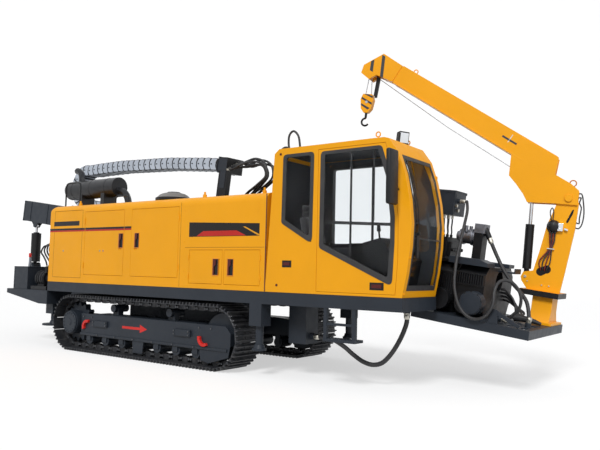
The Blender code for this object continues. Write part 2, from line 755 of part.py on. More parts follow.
# Side view of the cab's front, from sill to roof
cab_front = [
    (4.66, CAB_BASE), (4.72, 1.45), (4.76, 1.75), (4.775, 2.02), (4.75, 2.30), (4.69, 2.60), (4.60, 2.86),
]
cab_side = [(CAB_REAR, CAB_BASE), *cab_front, (4.47, CAB_ROOF - 0.02), (4.40, CAB_ROOF)]
cab_side += [(2.82, CAB_ROOF), (2.745, CAB_ROOF - 0.06)]

rear_window = [(3.37, 1.81), (3.38, 2.95), (2.92, 2.95), (2.90, 2.08)]
door_outline = [
    (CAB_DOOR_REAR, 1.19), (4.57, 1.19), (4.60, 1.60), (4.60, 2.10), (4.53, 2.62), (4.42, 2.99), (CAB_DOOR_REAR, 2.99),
]
door_window = [(3.51, 1.75), (4.50, 1.32), (4.53, 1.80), (4.53, 2.10), (4.46, 2.60), (4.36, 2.93), (3.51, 2.93)]
far_window = [(3.10, 1.80), (4.40, 1.80), (4.40, 2.50), (4.30, 2.90), (3.10, 2.90)]


def cab_shell():
    outer = slab("XZ", cab_side, -HALF, BODY_INNER)
    inner_side = inset(cab_side, CAB_WALL)
    inner_side[:2] = [(x, CAB_BASE + CAB_FLOOR) for x, _ in inner_side[:2]]
    inner = slab("XZ", inner_side, -HALF + CAB_WALL, BODY_INNER - CAB_WALL)
    front = block((4.40, -HALF + CAB_PILLAR, SCREEN_SILL), (5.0, BODY_INNER - CAB_PILLAR, SCREEN_HEAD))
    cuts = [inner, front]
    cuts.append(slab("XZ", rear_window, -HALF - 0.1, -HALF + 0.2))
    cuts.append(slab("XZ", inset(door_outline, -PANEL_GAP), -HALF - 0.1, -HALF + CAB_DOOR_SKIN))
    cuts.append(slab("XZ", inset(door_outline, DOOR_LIP), -HALF - 0.1, -HALF + 0.2))
    cuts.append(slab("XZ", far_window, BODY_INNER - 0.2, BODY_INNER + 0.1))
    finish = material("cab_paint", YELLOW, 0.35)
    return part("cab_shell", fused([outer], cuts), finish, datum)


def cab_door():
    axis = axis_empty("axis_cab_door", (CAB_DOOR_REAR, -HALF, 2.0), datum)
    shift = Matrix.Translation(-axis.location)
    panel = slab("XZ", door_outline, -HALF, -HALF + CAB_DOOR_SKIN - SEAT_GAP)
    window = slab("XZ", door_window, -HALF - 0.1, -HALF + 0.2)
    solid = fused([panel], [window])
    solid.matrix_world = shift @ solid.matrix_world
    part("cab_door", solid, material("cab_door_paint", YELLOW, 0.35), axis)
    pane = slab("XZ", inset(door_window, SEAT_GAP), -HALF + 0.010, -HALF + 0.010 + GLASS)
    pane.matrix_world = shift @ pane.matrix_world
    part("door_glass", pane, glass("door_glass"), axis)


def glass(name):
    return material(name + "_tint", (0.10, 0.13, 0.15), 0.05, 0.0, 0.35)


def side_panes():
    middle = -HALF + CAB_WALL / 2
    pane = slab("XZ", inset(rear_window, SEAT_GAP), middle, middle + GLASS)
    part("rear_side_glass", pane, glass("rear_side_glass"), datum)
    middle = BODY_INNER - CAB_WALL / 2
    pane = slab("XZ", inset(far_window, SEAT_GAP), middle, middle + GLASS)
    part("far_side_glass", pane, glass("far_side_glass"), datum)


def windscreen():
    """A bowed pane that fills the front opening, cut from a band along the cab's front line."""
    face = [(x - 0.004, z) for x, z in cab_front]
    back = [(x - 0.004 - GLASS, z) for x, z in cab_front]
    edge = CAB_PILLAR + SEAT_GAP
    band = slab("XZ", face + back[::-1], -HALF + edge, BODY_INNER - edge)
    low = block((4.0, -HALF, CAB_BASE - 0.1), (5.2, BODY_INNER, SCREEN_SILL + SEAT_GAP))
    high = block((4.0, -HALF, SCREEN_HEAD - SEAT_GAP), (5.2, BODY_INNER, CAB_ROOF + 0.1))
    return part("windscreen", fused([band], [low, high]), glass("windscreen"), datum)


def seat():
    x, y = 3.45, -HALF + CAB_WALL + 0.33
    floor = CAB_BASE + CAB_FLOOR + SEAT_GAP
    base = block((x - 0.20, y - 0.20, floor), (x + 0.20, y + 0.20, floor + 0.28))
    cushion = round_edges(
        block((x - 0.25, y - 0.25, floor + 0.27), (x + 0.27, y + 0.25, floor + 0.40)), lambda m: True, 0.03, 2
    )
    back = block((-0.06, y - 0.24, 0), (0.06, y + 0.24, 0.62))
    back = round_edges(back, lambda m: True, 0.03, 2)
    back.matrix_world = Matrix.Translation((x - 0.24, 0, floor + 0.36)) @ Matrix.Rotation(math.radians(-12), 4, "Y")
    head = block((x - 0.46, y - 0.13, floor + 0.92), (x - 0.34, y + 0.13, floor + 1.14))
    finish = material("seat_cloth", BLACK, 0.8)
    return part("seat", fused([base, cushion, back, head]), finish, datum)


def console():
    y = BODY_INNER - CAB_WALL - SEAT_GAP
    floor = CAB_BASE + CAB_FLOOR + SEAT_GAP
    arm = block((3.55, y - 0.20, floor), (4.15, y, floor + 0.62))
    desk = slab("XZ", [(4.05, floor), (4.42, floor), (4.50, floor + 0.40), (4.30, floor + 0.66), (4.05, floor + 0.60)],
                -HALF + 0.14, y - 0.01)
    finish = material("console_plastic", (0.03, 0.03, 0.035), 0.6)
    return part("console", fused([arm, desk]), finish, datum)


def mirror():
    x = 4.655
    y = -HALF - SEAT_GAP
    arm_high = tube([(4.60, y, 2.42), (4.60, y - 0.05, 2.42), (4.62, y - 0.16, 2.46)], 0.014, 2)
    arm_low = tube([(4.62, y - 0.16, 2.50), (4.62, y - 0.16, 2.30)], 0.014, 2)
    head = block((4.60, y - 0.32, 2.22), (4.66, y - 0.10, 2.86))
    head = round_edges(head, lambda m: True, 0.024, 2)
    finish = material("mirror_plastic", BLACK, 0.5)
    return part("mirror", fused([head, arm_high, arm_low]), finish, datum)


def work_light():
    base = CAB_ROOF + SEAT_GAP
    x, y = 4.30, -0.62
    foot = block((x - 0.03, y - 0.03, base), (x + 0.03, y + 0.03, base + 0.06))
    lamp = drum((-0.05, 0, 0), (0.05, 0, 0), 0.075, 20, 0.085)
    lamp.matrix_world = Matrix.Translation((x + 0.01, y, base + 0.12)) @ Matrix.Rotation(math.radians(-20), 4, "Z")
    finish = material("work_light_plastic", BLACK, 0.5)
    return part("work_light", fused([foot, lamp]), finish, datum)


def cab_step():
    top = DECK_BOTTOM - SEAT_GAP
    x0, x1 = 3.58, 4.04
    y0, y1 = -HALF, -HALF + 0.20
    tread = 0.58
    solids = [block((x0, y0, tread), (x1, y1, tread + 0.035))]
    for x in (x0, x1 - 0.045):
        solids.append(block((x, y0 + 0.005, tread + 0.02), (x + 0.045, y0 + DECK_WALL - 0.005, top)))
    solids.append(block((x0 + 0.02, y0 + 0.01, tread + 0.20), (x1 - 0.02, y0 + 0.05, tread + 0.23)))
    finish = material("cab_step_paint", SLATE, 0.5)
    return part("cab_step", fused(solids), finish, datum)


def rear_box():
    base = BRACKET_TOP + SEAT_GAP
    x0, x1 = -3.50, -3.05
    y0 = -HALF + 0.02
    body = block((x0, y0, base), (x1, y0 + 0.42, 1.41))
    lever = drum((-3.24, y0 + 0.15, 1.40), (-3.24, y0 + 0.15, 1.60), 0.024, 10, 0.012)
    knob = drum((-3.24, y0 + 0.15, 1.59), (-3.24, y0 + 0.15, 1.66), 0.026, 10)
    finish = material("rear_box_paint", SLATE, 0.45)
    return part("rear_box", fused([body, lever, knob]), finish, datum)


cab_shell()
cab_door()
side_panes()
windscreen()
seat()
console()
mirror()
work_light()
cab_step()
rear_box()


# Drill frame: a trough of two rails that tilts on the chassis, with its lift cylinders

tilt = axis_empty("axis_tilt", TILT_PIVOT, datum, (0, TILT_DEGREES, 0))
tilt_matrix = Matrix.Translation(TILT_PIVOT) @ Matrix.Rotation(math.radians(TILT_DEGREES), 4, "Y")
to_slope = tilt_matrix.inverted()
lift_u = (to_slope @ Vector((LIFT_X, 0, LIFT_PIN_Z + 0.86))).x
LIFT_EYE_W = RAIL_BOTTOM - LIFT_EYE_DROP


def drill_frame():
    solids = []
    for y in rail_y.values():
        low, high = y - RAIL_WIDTH / 2, y + RAIL_WIDTH / 2
        solids.append(block((FRAME_REAR, low, RAIL_BOTTOM), (FRAME_FRONT, high, RAIL_TOP)))
        for u, w, grip in ((0.0, 0.0, 0.075), (lift_u, LIFT_EYE_W, 0.055)):
            lug = [(u + 0.15, RAIL_BOTTOM + 0.02), (u - 0.15, RAIL_BOTTOM + 0.02)]
            lug += arc((u, w), grip, 180, 360, 5)
            hole = arc((u, w), TILT_PIN_RADIUS + PIN_PLAY, 0, 330, 11)
            if u == 0.0:
                solids.append(slab("XZ", lug, y - LUG_WIDTH / 2, y + LUG_WIDTH / 2, [hole]))
            else:
                for start in (y - LUG_WIDTH / 2, y + LUG_WIDTH / 2 - 0.025):
                    solids.append(slab("XZ", lug, start, start + 0.025))
    stations = [FRAME_REAR + 0.02 + i * 1.17 for i in range(9)]
    for u in stations:
        solids.append(block((u, rail_y["R"], RAIL_BOTTOM + 0.01), (u + 0.16, rail_y["L"], RAIL_BOTTOM + 0.09)))
    finish = material("drill_frame_paint", SLATE, 0.5)
    return part("drill_frame", fused(solids), finish, tilt)


def lift_cylinder(name, y):
    """Barrel and rod stand between the chassis ear and the frame's lug."""
    eye = tilt_matrix @ Vector((lift_u, 0, LIFT_EYE_W))
    pin = Vector((LIFT_X, 0, LIFT_PIN_Z))
    lean = eye - pin
    length = lean.length
    turn = math.degrees(math.atan2(lean.x, lean.z))
    axis = axis_empty("axis_lift_" + name, (LIFT_X, y, LIFT_PIN_Z), datum, (0, turn, 0))
    top = LIFT_BARREL_TOP - LIFT_PIN_Z
    boss_half = LUG_WIDTH / 2 + 0.005 - SEAT_GAP
    boss = drum((0, -boss_half, 0), (0, boss_half, 0), 0.055, 16)
    barrel = drum((0, 0, 0.07), (0, 0, top), LIFT_BARREL_RADIUS, 18)
    neck = drum((0, 0, 0), (0, 0, 0.09), 0.04, 16)
    gland = drum((0, 0, top - 0.01), (0, 0, top + 0.02), 0.06, 16)
    bore = drum((0, 0, 0.09), (0, 0, top + 0.05), LIFT_ROD_RADIUS + 0.0006, 16)
    eye_hole = drum((0, -0.2, 0), (0, 0.2, 0), TILT_PIN_RADIUS + PIN_PLAY, 16)
    solid = fused([boss, barrel, neck, gland], [bore, eye_hole])
    part("lift_barrel_" + name, solid, material("lift_barrel_paint_" + name, BLACK, 0.45), axis)
    slide = axis_empty("axis_lift_rod_" + name, (0, 0, length), axis)
    rod = drum((0, 0, 0.155 - length), (0, 0, -0.02), LIFT_ROD_RADIUS, 16)
    eye_half = LUG_WIDTH / 2 - 0.025 - SEAT_GAP
    head = drum((0, -eye_half, 0), (0, eye_half, 0), 0.042, 16)
    part("lift_rod_" + name, fused([rod, head]), material("lift_rod_chrome_" + name, STEEL, 0.15, 1.0), slide)


drill_frame()
for name, y in rail_y.items():
    lift_cylinder(name, y)


# Front platform, vise and wrench, valve box

platform_low = DRILL_LINE_Y - PLATFORM_WIDTH / 2
platform_high = DRILL_LINE_Y + PLATFORM_WIDTH / 2


def front_platform():
    bottom = PLATFORM_TOP - PLATFORM_DEPTH
    plate = block((PLATFORM_REAR, platform_low, bottom), (PLATFORM_FRONT, platform_high, PLATFORM_TOP))
    cuts = [block((PLATFORM_REAR + 0.06, platform_low + 0.03, bottom - 0.1),
                  (PLATFORM_FRONT - 0.03, platform_high - 0.03, PLATFORM_TOP - 0.02))]
    # forward distance of each anchor hole from the platform's rear, and its half length
    for u in (PLATFORM_FRONT - 0.12, PLATFORM_FRONT - 0.30):
        for y in (platform_low + 0.18, platform_low + 0.55):
            hole = arc((u, y + 0.06), 0.035, 0, 180, 5) + arc((u, y - 0.06), 0.035, 180, 360, 5)
            cuts.append(slab("XY", hole, PLATFORM_TOP - 0.1, PLATFORM_TOP + 0.1))
    solid = fused([plate], cuts)
    u, y, w = PLATFORM_SOCKET
    elbow = block((u - 0.12, y - 0.04, PLATFORM_TOP - 0.01), (u - 0.03, y + 0.04, w + 0.04))
    sleeve = drum((u - 0.04, y, w), (u, y, w), LOOP_HOSE_RADIUS + 0.012, 12)
    u, y, w = FRONT_SOCKET
    socket = drum((u, y, PLATFORM_TOP - 0.01), (u, y, w), DIAGONAL_HOSE_RADIUS + 0.012, 12)
    finish = material("platform_paint", (0.10, 0.11, 0.13), 0.5)
    return part("front_platform", fused([solid, elbow, sleeve, socket]), finish, tilt)


def vise(name, u0, u1, jaw_low, jaw_high, bore, motor):
    """A clamp block that stands on the platform round the drill line."""
    seat_w = PLATFORM_TOP + SEAT_GAP
    body = [
        (jaw_low + 0.10, seat_w), (jaw_high - 0.10, seat_w), (jaw_high, 0.16), (jaw_high, 0.46),
        (jaw_high - 0.12, 0.58), (jaw_low + 0.12, 0.58), (jaw_low, 0.46), (jaw_low, 0.16),
    ]
    solids = [slab("YZ", body, u0, u1)]
    middle = (u0 + u1) / 2
    solids.append(drum((middle, jaw_low - 0.12, 0.10), (middle, jaw_high + 0.12, 0.10), 0.14, 18))
    passage = drum((u0 - 0.1, DRILL_LINE_Y, PIPE_HEIGHT), (u1 + 0.1, DRILL_LINE_Y, PIPE_HEIGHT), bore, 20)
    solid = fused(solids, [passage])
    if motor:
        port = MOTOR_PORT
        foot = Vector((u0 + 0.10, port.y, 0.55))
        column = block((foot.x - 0.06, port.y - 0.09, foot.z), (foot.x + 0.06, port.y + 0.09, port.z + 0.16))
        stub = drum(port - MOTOR_PORT_AIM * 0.14, port, DIAGONAL_HOSE_RADIUS + 0.012, 12)
        solid = fused([solid, column, stub])
    finish = material("vise_paint_" + name, BLACK, 0.5)
    return part("vise_" + name, solid, finish, tilt)


def valve_box():
    u0, u1 = 1.02, 1.40
    y0, y1 = 0.24, 0.62
    low, high = 1.20, 1.52
    box = block((u0, y0, low), (u1, y1, high))
    rail = rail_y["R"]
    leg = block((u0 + 0.04, rail - 0.05, RAIL_TOP + SEAT_GAP), (u0 + 0.14, rail + 0.05, low + 0.12))
    arm = block((u0 + 0.04, rail - 0.05, low + 0.02), (u0 + 0.14, y0 + 0.05, low + 0.12))
    u, y, w = VALVE_OUTLET
    outlet = drum((u1 - 0.02, y, w), (u, y, w), LOOP_HOSE_RADIUS + 0.012, 12)
    finish = material("valve_box_paint", SLATE, 0.5)
    return part("valve_box", fused([box, leg, arm, outlet]), finish, tilt)


front_platform()
vise("rear", 1.36, 1.62, 0.02, 1.00, 0.11, False)
vise("front", 1.68, 2.05, -0.02, 1.04, 0.13, True)
valve_box()


# Power head on its carriage, spindle and energy chain

CARRIAGE_U = -2.55
CARRIAGE_LENGTH = 0.95
RUNNER_GAP = 0.0005
HEAD_MOUNT_REACH = 0.14
SPINDLE_RADIUS = 0.0598
SPINDLE_PLAY = 0.0007
CHAIN_DEPTH = 0.20
CHAIN_WIDTH = 0.30
CHAIN_BEND_U = -6.215
CHAIN_BEND_RADIUS = 0.345
CHAIN_ANCHOR_U = -3.6


def power_head():
    axis = axis_empty("axis_carriage", (CARRIAGE_U, 0, RAIL_TOP), tilt)
    low = rail_y["R"] - RAIL_WIDTH / 2
    high = rail_y["L"] + RAIL_WIDTH / 2
    half = CARRIAGE_LENGTH / 2
    deck = block((-half, low - 0.03, RUNNER_GAP), (half, high + 0.03, 0.05))
    solids = [deck]
    for edge, out in ((low, -1), (high, 1)):
        start, end = sorted((edge + out * 0.006, edge + out * 0.03))
        solids.append(block((-half, start, -0.12), (half, end, 0.02)))
    pipe = PIPE_HEIGHT - RAIL_TOP
    y = DRILL_LINE_Y
    solids.append(block((-0.36, y - 0.24, pipe - 0.20), (0.36, y + 0.24, 0.34)))
    solids.append(drum((0.34, y, pipe), (0.46, y, pipe), 0.15, 18))
    for offset in (-0.27, 0.27):
        solids.append(drum((-0.62, y + offset * 0.5, 0.22), (-0.30, y + offset * 0.5, 0.22), 0.11, 16))
    solids.append(block((-0.10, low + 0.02, 0.04), (0.10, low + 0.12, 1.00)))
    solids.append(block((-HEAD_MOUNT_REACH, low + 0.02, 0.96), (0.06, low + 0.42, 1.22)))
    bore = drum((0.30, y, pipe), (0.60, y, pipe), SPINDLE_RADIUS + SPINDLE_PLAY, 32)
    finish = material("power_head_paint", BLACK, 0.5)
    part("power_head", fused(solids, [bore]), finish, axis)
    spin = axis_empty("axis_spindle", (0.46, y, pipe), axis)
    shaft = drum((-0.155, 0, 0), (0.30, 0, 0), SPINDLE_RADIUS, 20)
    joint = drum((0.04, 0, 0), (0.26, 0, 0), 0.085, 20)
    part("spindle", fused([shaft, joint]), material("spindle_steel", STEEL, 0.35, 1.0), spin)


def offset_line(line, distance):
    """A row of points moved sideways by one distance."""
    moved = []
    for i, point in enumerate(line):
        here = Vector(point)
        before = Vector(line[max(i - 1, 0)])
        after = Vector(line[min(i + 1, len(line) - 1)])
        along = (after - before).normalized()
        moved.append(tuple(here + Vector((-along.y, along.x)) * distance))
    return moved


def hose_chain():
    """Hose carrier: a top run from the power head, a half-round bend and a lower run laid on the rail."""
    low_run = RAIL_TOP + SEAT_GAP + CHAIN_DEPTH / 2
    start = CARRIAGE_U - HEAD_MOUNT_REACH - SEAT_GAP
    line = [(start, 1.62), (start - 0.20, 1.62), (-3.9, 1.575), (-5.2, 1.455), (-5.85, 1.365)]
    line += arc((CHAIN_BEND_U, low_run + CHAIN_BEND_RADIUS), CHAIN_BEND_RADIUS, 80, 270, 9)
    line += [(CHAIN_ANCHOR_U, low_run)]
    band = offset_line(line, CHAIN_DEPTH / 2) + offset_line(line, -CHAIN_DEPTH / 2)[::-1]
    near = rail_y["R"] - RAIL_WIDTH / 2
    solid = slab("XZ", band, near, near + CHAIN_WIDTH)
    finish = material("chain_steel", (0.40, 0.43, 0.48), 0.35, 0.6)
    return part("hose_chain", solid, finish, tilt)


power_head()
hose_chain()


# Loading crane on the platform's outer front corner

def crane_base():
    seat_w = PLATFORM_TOP + SEAT_GAP
    u, y = CRANE_U, CRANE_Y
    plate = block((u - 0.25, y - 0.26, seat_w), (u + 0.17, y + 0.26, seat_w + 0.03))
    flare = [
        (y - 0.20, seat_w + 0.02), (y + 0.20, seat_w + 0.02), (y + 0.13, seat_w + 0.16),
        (y + 0.13, 0.29), (y - 0.13, 0.29), (y - 0.13, seat_w + 0.16),
    ]
    post = slab("YZ", flare, u - 0.14, u + 0.12)
    shelf = block((u - 0.30, y - 0.20, 0.28), (u + 0.20, y + 0.20, SHELF_TOP))
    finish = material("crane_base_paint", YELLOW, 0.35)
    return part("crane_base", fused([plate, post, shelf]), finish, tilt)


slew = axis_empty("axis_slew", (CRANE_U, CRANE_Y, 0), tilt, (0, 0, 180.0 + SLEW_REST))


def crane_column():
    """Leaning box column with the ear that carries the luffing cylinder."""
    foot = SHELF_TOP + SEAT_GAP
    outline = [
        (-0.16, foot), (0.25, foot), (0.33, foot + 0.10), (0.345, 0.50), (0.32, 0.57), (0.20, 0.60),
        (0.15, 0.88), (0.10, 1.23), (0.03, 1.46), (-0.02, 1.66), (-0.08, 1.70), (-0.18, 1.69), (-0.25, 1.55),
        (-0.245, 1.20), (-0.19, 0.62),
    ]
    half = COLUMN_WIDTH / 2
    body = slab("XZ", outline, -half, half)
    px, pz = BOOM_PIVOT
    pin_hole = drum((px, -0.3, pz), (px, 0.3, pz), TILT_PIN_RADIUS + PIN_PLAY, 16)
    slot = block((0.20, -0.045, foot + 0.045), (0.5, 0.045, 0.75))
    bx, bz = LUFF_BARREL_PIN
    barrel_pin = drum((bx, -half + 0.01, bz), (bx, half - 0.01, bz), 0.022, 12)
    solid = fused([body], [pin_hole, slot])
    solid = fused([solid, barrel_pin])
    finish = material("crane_column_paint", YELLOW, 0.35)
    return part("crane_column", solid, finish, slew)


def luff_cylinder():
    bx, bz = LUFF_BARREL_PIN
    ex, ez = LUFF_EYE
    length = math.hypot(ex - bx, ez - bz)
    turn = math.degrees(math.atan2(ex - bx, ez - bz))
    axis = axis_empty("axis_luff_barrel", (bx, 0, bz), slew, (0, turn, 0))
    boss = drum((0, -0.045 + SEAT_GAP, 0), (0, 0.045 - SEAT_GAP, 0), 0.042, 16)
    barrel = drum((0, 0, 0.10), (0, 0, 0.70), LUFF_BARREL_RADIUS, 20)
    neck = drum((0, 0, 0), (0, 0, 0.11), 0.035, 16)
    bore = drum((0, 0, 0.12), (0, 0, 0.80), LUFF_ROD_RADIUS + 0.0006, 16)
    hole = drum((0, -0.1, 0), (0, 0.1, 0), 0.022 + PIN_PLAY, 12)
    part("luff_barrel", fused([boss, barrel, neck], [bore, hole]), material("luff_barrel_paint", BLACK, 0.4), axis)
    slide = axis_empty("axis_luff_rod", (0, 0, length), axis)
    rod = drum((0, 0, 0.40 - length), (0, 0, 0), LUFF_ROD_RADIUS, 16)
    head = drum((0, -0.030, 0), (0, 0.030, 0), 0.038, 16)
    part("luff_rod", fused([rod, head]), material("luff_rod_chrome", STEEL, 0.12, 1.0), slide)


luff = axis_empty("axis_luff", (BOOM_PIVOT[0], 0, BOOM_PIVOT[1]), slew, (0, -BOOM_REST, 0))
to_boom = (Matrix.Translation((BOOM_PIVOT[0], 0, BOOM_PIVOT[1]))
           @ Matrix.Rotation(math.radians(-BOOM_REST), 4, "Y")).inverted()


def boom_place(r, w):
    """A point of the crane's side view, in the boom's own frame."""
    spot = to_boom @ Vector((r, 0, w))
    return (spot.x, spot.z)


BOOM_LOW = 0.115
BOOM_DEEP = 0.27
BOOM_ROOT = 0.42
BOOM_OUTER_END = 2.95
BOOM_TIP = 3.34
HOOK_TIE_HALF = 0.058
HOOK_PIN_REACH = 0.04
HOOK_PIN_DROP = 0.05
HOOK_PIN_RADIUS = 0.012


def boom_outer():
    """Box boom with two heel cheeks that straddle the column and a gusset for the luffing rod."""
    half = BOOM_WIDTH / 2
    low = BOOM_LOW
    high = BOOM_LOW + BOOM_DEEP
    inside = block(
        (BOOM_ROOT + 0.20, -half + BOOM_WALL, low + BOOM_WALL),
        (BOOM_OUTER_END + 0.1, half - BOOM_WALL, high - BOOM_WALL),
    )
    heel = [
        boom_place(0.02, 1.515), boom_place(0.385, 1.495), boom_place(0.45, 1.60), boom_place(0.56, 1.73),
        boom_place(0.66, 1.83), (0.95, low + 0.01), (0.95, high - 0.02), (0.40, high - 0.005),
        boom_place(0.08, 1.895), boom_place(-0.13, 1.79), boom_place(-0.235, 1.71), boom_place(-0.24, 1.52),
    ]
    solids = [block((BOOM_ROOT, -half, low), (BOOM_OUTER_END, half, high))]
    inner = COLUMN_WIDTH / 2 + SEAT_GAP
    for side in SIDES.values():
        edges = sorted((side * inner, side * (inner + CHEEK + 0.012)))
        solids.append(slab("XZ", heel, *edges))
    crown = [boom_place(0.16, 1.93), boom_place(-0.12, 1.795), boom_place(-0.11, 1.770), boom_place(0.17, 1.900)]
    solids.append(slab("XZ", crown, -inner - 0.005, inner + 0.005))
    reach = inner + CHEEK + 0.03
    solids.append(drum((0, -reach, 0), (0, reach, 0), TILT_PIN_RADIUS, 16))
    finish = material("boom_outer_paint", YELLOW, 0.35)
    return part("boom_outer", fused(solids, [inside]), finish, luff)


def boom_inner():
    half = BOOM_WIDTH / 2 - BOOM_WALL - SEAT_GAP
    low = BOOM_LOW + BOOM_WALL + SEAT_GAP
    high = BOOM_LOW + BOOM_DEEP - BOOM_WALL - SEAT_GAP
    axis = axis_empty("axis_boom_extend", (BOOM_OUTER_END, 0, 0), luff)
    start = BOOM_ROOT + 0.25 - BOOM_OUTER_END
    end = BOOM_TIP - BOOM_OUTER_END
    beam = block((start, -half, low), (end - 0.12, half, high))
    head = [(0.02, low - 0.02), (end - 0.10, low - 0.05), (end - 0.03, low - 0.16), (end + 0.13, low - 0.14),
            (end + 0.16, low - 0.02), (end - 0.02, high + 0.02), (0.02, high + 0.005)]
    nose = slab("XZ", head, -half - 0.008, half + 0.008)
    mouth = block((end - 0.20, -HOOK_TIE_HALF, low - 0.3), (end + 0.10, HOOK_TIE_HALF, low - 0.015))
    pin_u = BOOM_TIP + HOOK_PIN_REACH - BOOM_OUTER_END
    pin_w = low - HOOK_PIN_DROP
    pin = drum((pin_u, -half, pin_w), (pin_u, half, pin_w), HOOK_PIN_RADIUS, 12)
    finish = material("boom_inner_paint", YELLOW, 0.35)
    return part("boom_inner", fused([fused([beam, nose], [mouth]), pin]), finish, axis)


def hook_block():
    """Rope falls, striped sheave block and hook, hung plumb under the boom's head."""
    low = BOOM_LOW + BOOM_WALL + SEAT_GAP
    u = BOOM_TIP + HOOK_PIN_REACH - BOOM_OUTER_END
    carrier = bpy.data.objects["axis_boom_extend"]
    axis = axis_empty("axis_hook", (u, 0, low - HOOK_PIN_DROP), carrier, (0, BOOM_REST, 0))
    tie_half = HOOK_TIE_HALF - SEAT_GAP
    tie = drum((0, -tie_half, 0), (0, tie_half, 0), 0.030, 16)
    eye = drum((0, -0.1, 0), (0, 0.1, 0), HOOK_PIN_RADIUS + PIN_PLAY, 12)
    solids = [fused([tie], [eye])]
    for x in (-0.045, 0.045):
        solids.append(drum((x * 0.4, 0, -0.018), (x, 0, -0.36), 0.006, 6))
    body = [(-0.07, -0.34), (-0.10, -0.42), (-0.08, -0.56), (-0.03, -0.62), (0.03, -0.62), (0.08, -0.56),
            (0.10, -0.42), (0.07, -0.34)]
    solids.append(slab("XZ", body, -0.05, 0.05))
    solids.append(drum((0, 0, -0.60), (0, 0, -0.68), 0.018, 10))
    crook = [(0.0, -0.67), (0.0, -0.70)] + arc((0.0, -0.755), 0.055, 90, -150, 10)
    route = [(x, 0, z) for x, z in crook]
    solids.append(tube(route, 0.014, 2))
    finish = material("hook_block_paint", YELLOW, 0.4)
    return part("hook_block", fused(solids), finish, axis)


crane_base()
crane_column()
luff_cylinder()
boom_outer()
boom_inner()
hook_block()


# Free hoses, each from a fitting on one fixed piece to a fitting on another

def free_hose(name, route, radius, parent):
    points = smooth_route(route, 0.09)
    finish = material(name + "_rubber", BLACK, 0.6)
    return part(name, tube(points, radius, 2), finish, parent, 60.0)


def mud_hose():
    y = MUD_HOSE_Y
    start = MUD_OUTLET[0] + SEAT_GAP
    z = MUD_OUTLET[1]
    end_x, end_z = MUD_INLET
    route = [
        (start, y, z), (start + 0.10, y, z), (3.36, y, 0.545), (3.54, y, 0.47), (3.70, y, 0.37), (3.84, y, 0.30),
        (3.98, y, 0.275), (4.11, y, 0.31), (4.22, y, 0.41), (4.32, y, 0.55), (4.40, y, 0.70),
        (end_x, y, end_z - 0.11), (end_x, y, end_z - SEAT_GAP),
    ]
    return free_hose("mud_hose", route, MUD_HOSE_RADIUS, datum)


def loop_hose():
    u, y, w = VALVE_OUTLET
    end_u, end_y, end_w = PLATFORM_SOCKET
    route = [
        (u + SEAT_GAP, y, w), (u + 0.08, y, w), (1.56, 0.28, 1.39), (1.62, 0.18, 1.27), (1.655, 0.06, 1.10),
        (1.68, -0.05, 0.90), (1.70, -0.15, 0.69), (1.73, -0.23, 0.48), (1.765, -0.275, 0.29), (1.84, -0.285, 0.10),
        (1.95, -0.285, -0.02), (2.08, -0.285, -0.055), (2.20, -0.285, 0.0), (2.27, -0.27, 0.14),
        (2.255, -0.22, 0.32), (2.27, -0.14, 0.43), (2.34, -0.06, 0.46), (2.43, 0.0, 0.41), (2.50, 0.03, 0.29),
        (2.50, 0.04, 0.15), (2.44, 0.04, 0.06), (end_u + 0.05, end_y, end_w), (end_u + SEAT_GAP, end_y, end_w),
    ]
    return free_hose("loop_hose", route, LOOP_HOSE_RADIUS, tilt)


def diagonal_hose():
    start = Vector(MOTOR_PORT) + MOTOR_PORT_AIM * SEAT_GAP
    end_u, end_y, end_w = FRONT_SOCKET
    route = [
        start, start + MOTOR_PORT_AIM * 0.08, (2.03, 0.36, 0.73), (2.15, 0.34, 0.56), (2.29, 0.30, 0.42),
        (2.43, 0.24, 0.32), (2.54, 0.18, 0.21), (end_u, end_y, end_w + 0.06), (end_u, end_y, end_w + SEAT_GAP),
    ]
    return free_hose("diagonal_hose", route, DIAGONAL_HOSE_RADIUS, tilt)


mud_hose()
loop_hose()
diagonal_hose()


# The model is set down with its box's bottom middle at the origin

bpy.context.view_layer.update()
CORDS = ("mud_hose", "loop_hose", "diagonal_hose")
corners = []
for piece in parts.objects:
    if piece.type == "MESH" and piece.name not in CORDS:
        corners += [piece.matrix_world @ vertex.co for vertex in piece.data.vertices]
lowest = Vector([min(c[i] for c in corners) for i in range(3)])
highest = Vector([max(c[i] for c in corners) for i in range(3)])
datum.location = (-(lowest.x + highest.x) / 2, -(lowest.y + highest.y) / 2, -lowest.z)
bpy.context.view_layer.update()
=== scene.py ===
import math

import bmesh
import bpy
from mathutils import Matrix, Quaternion, Vector


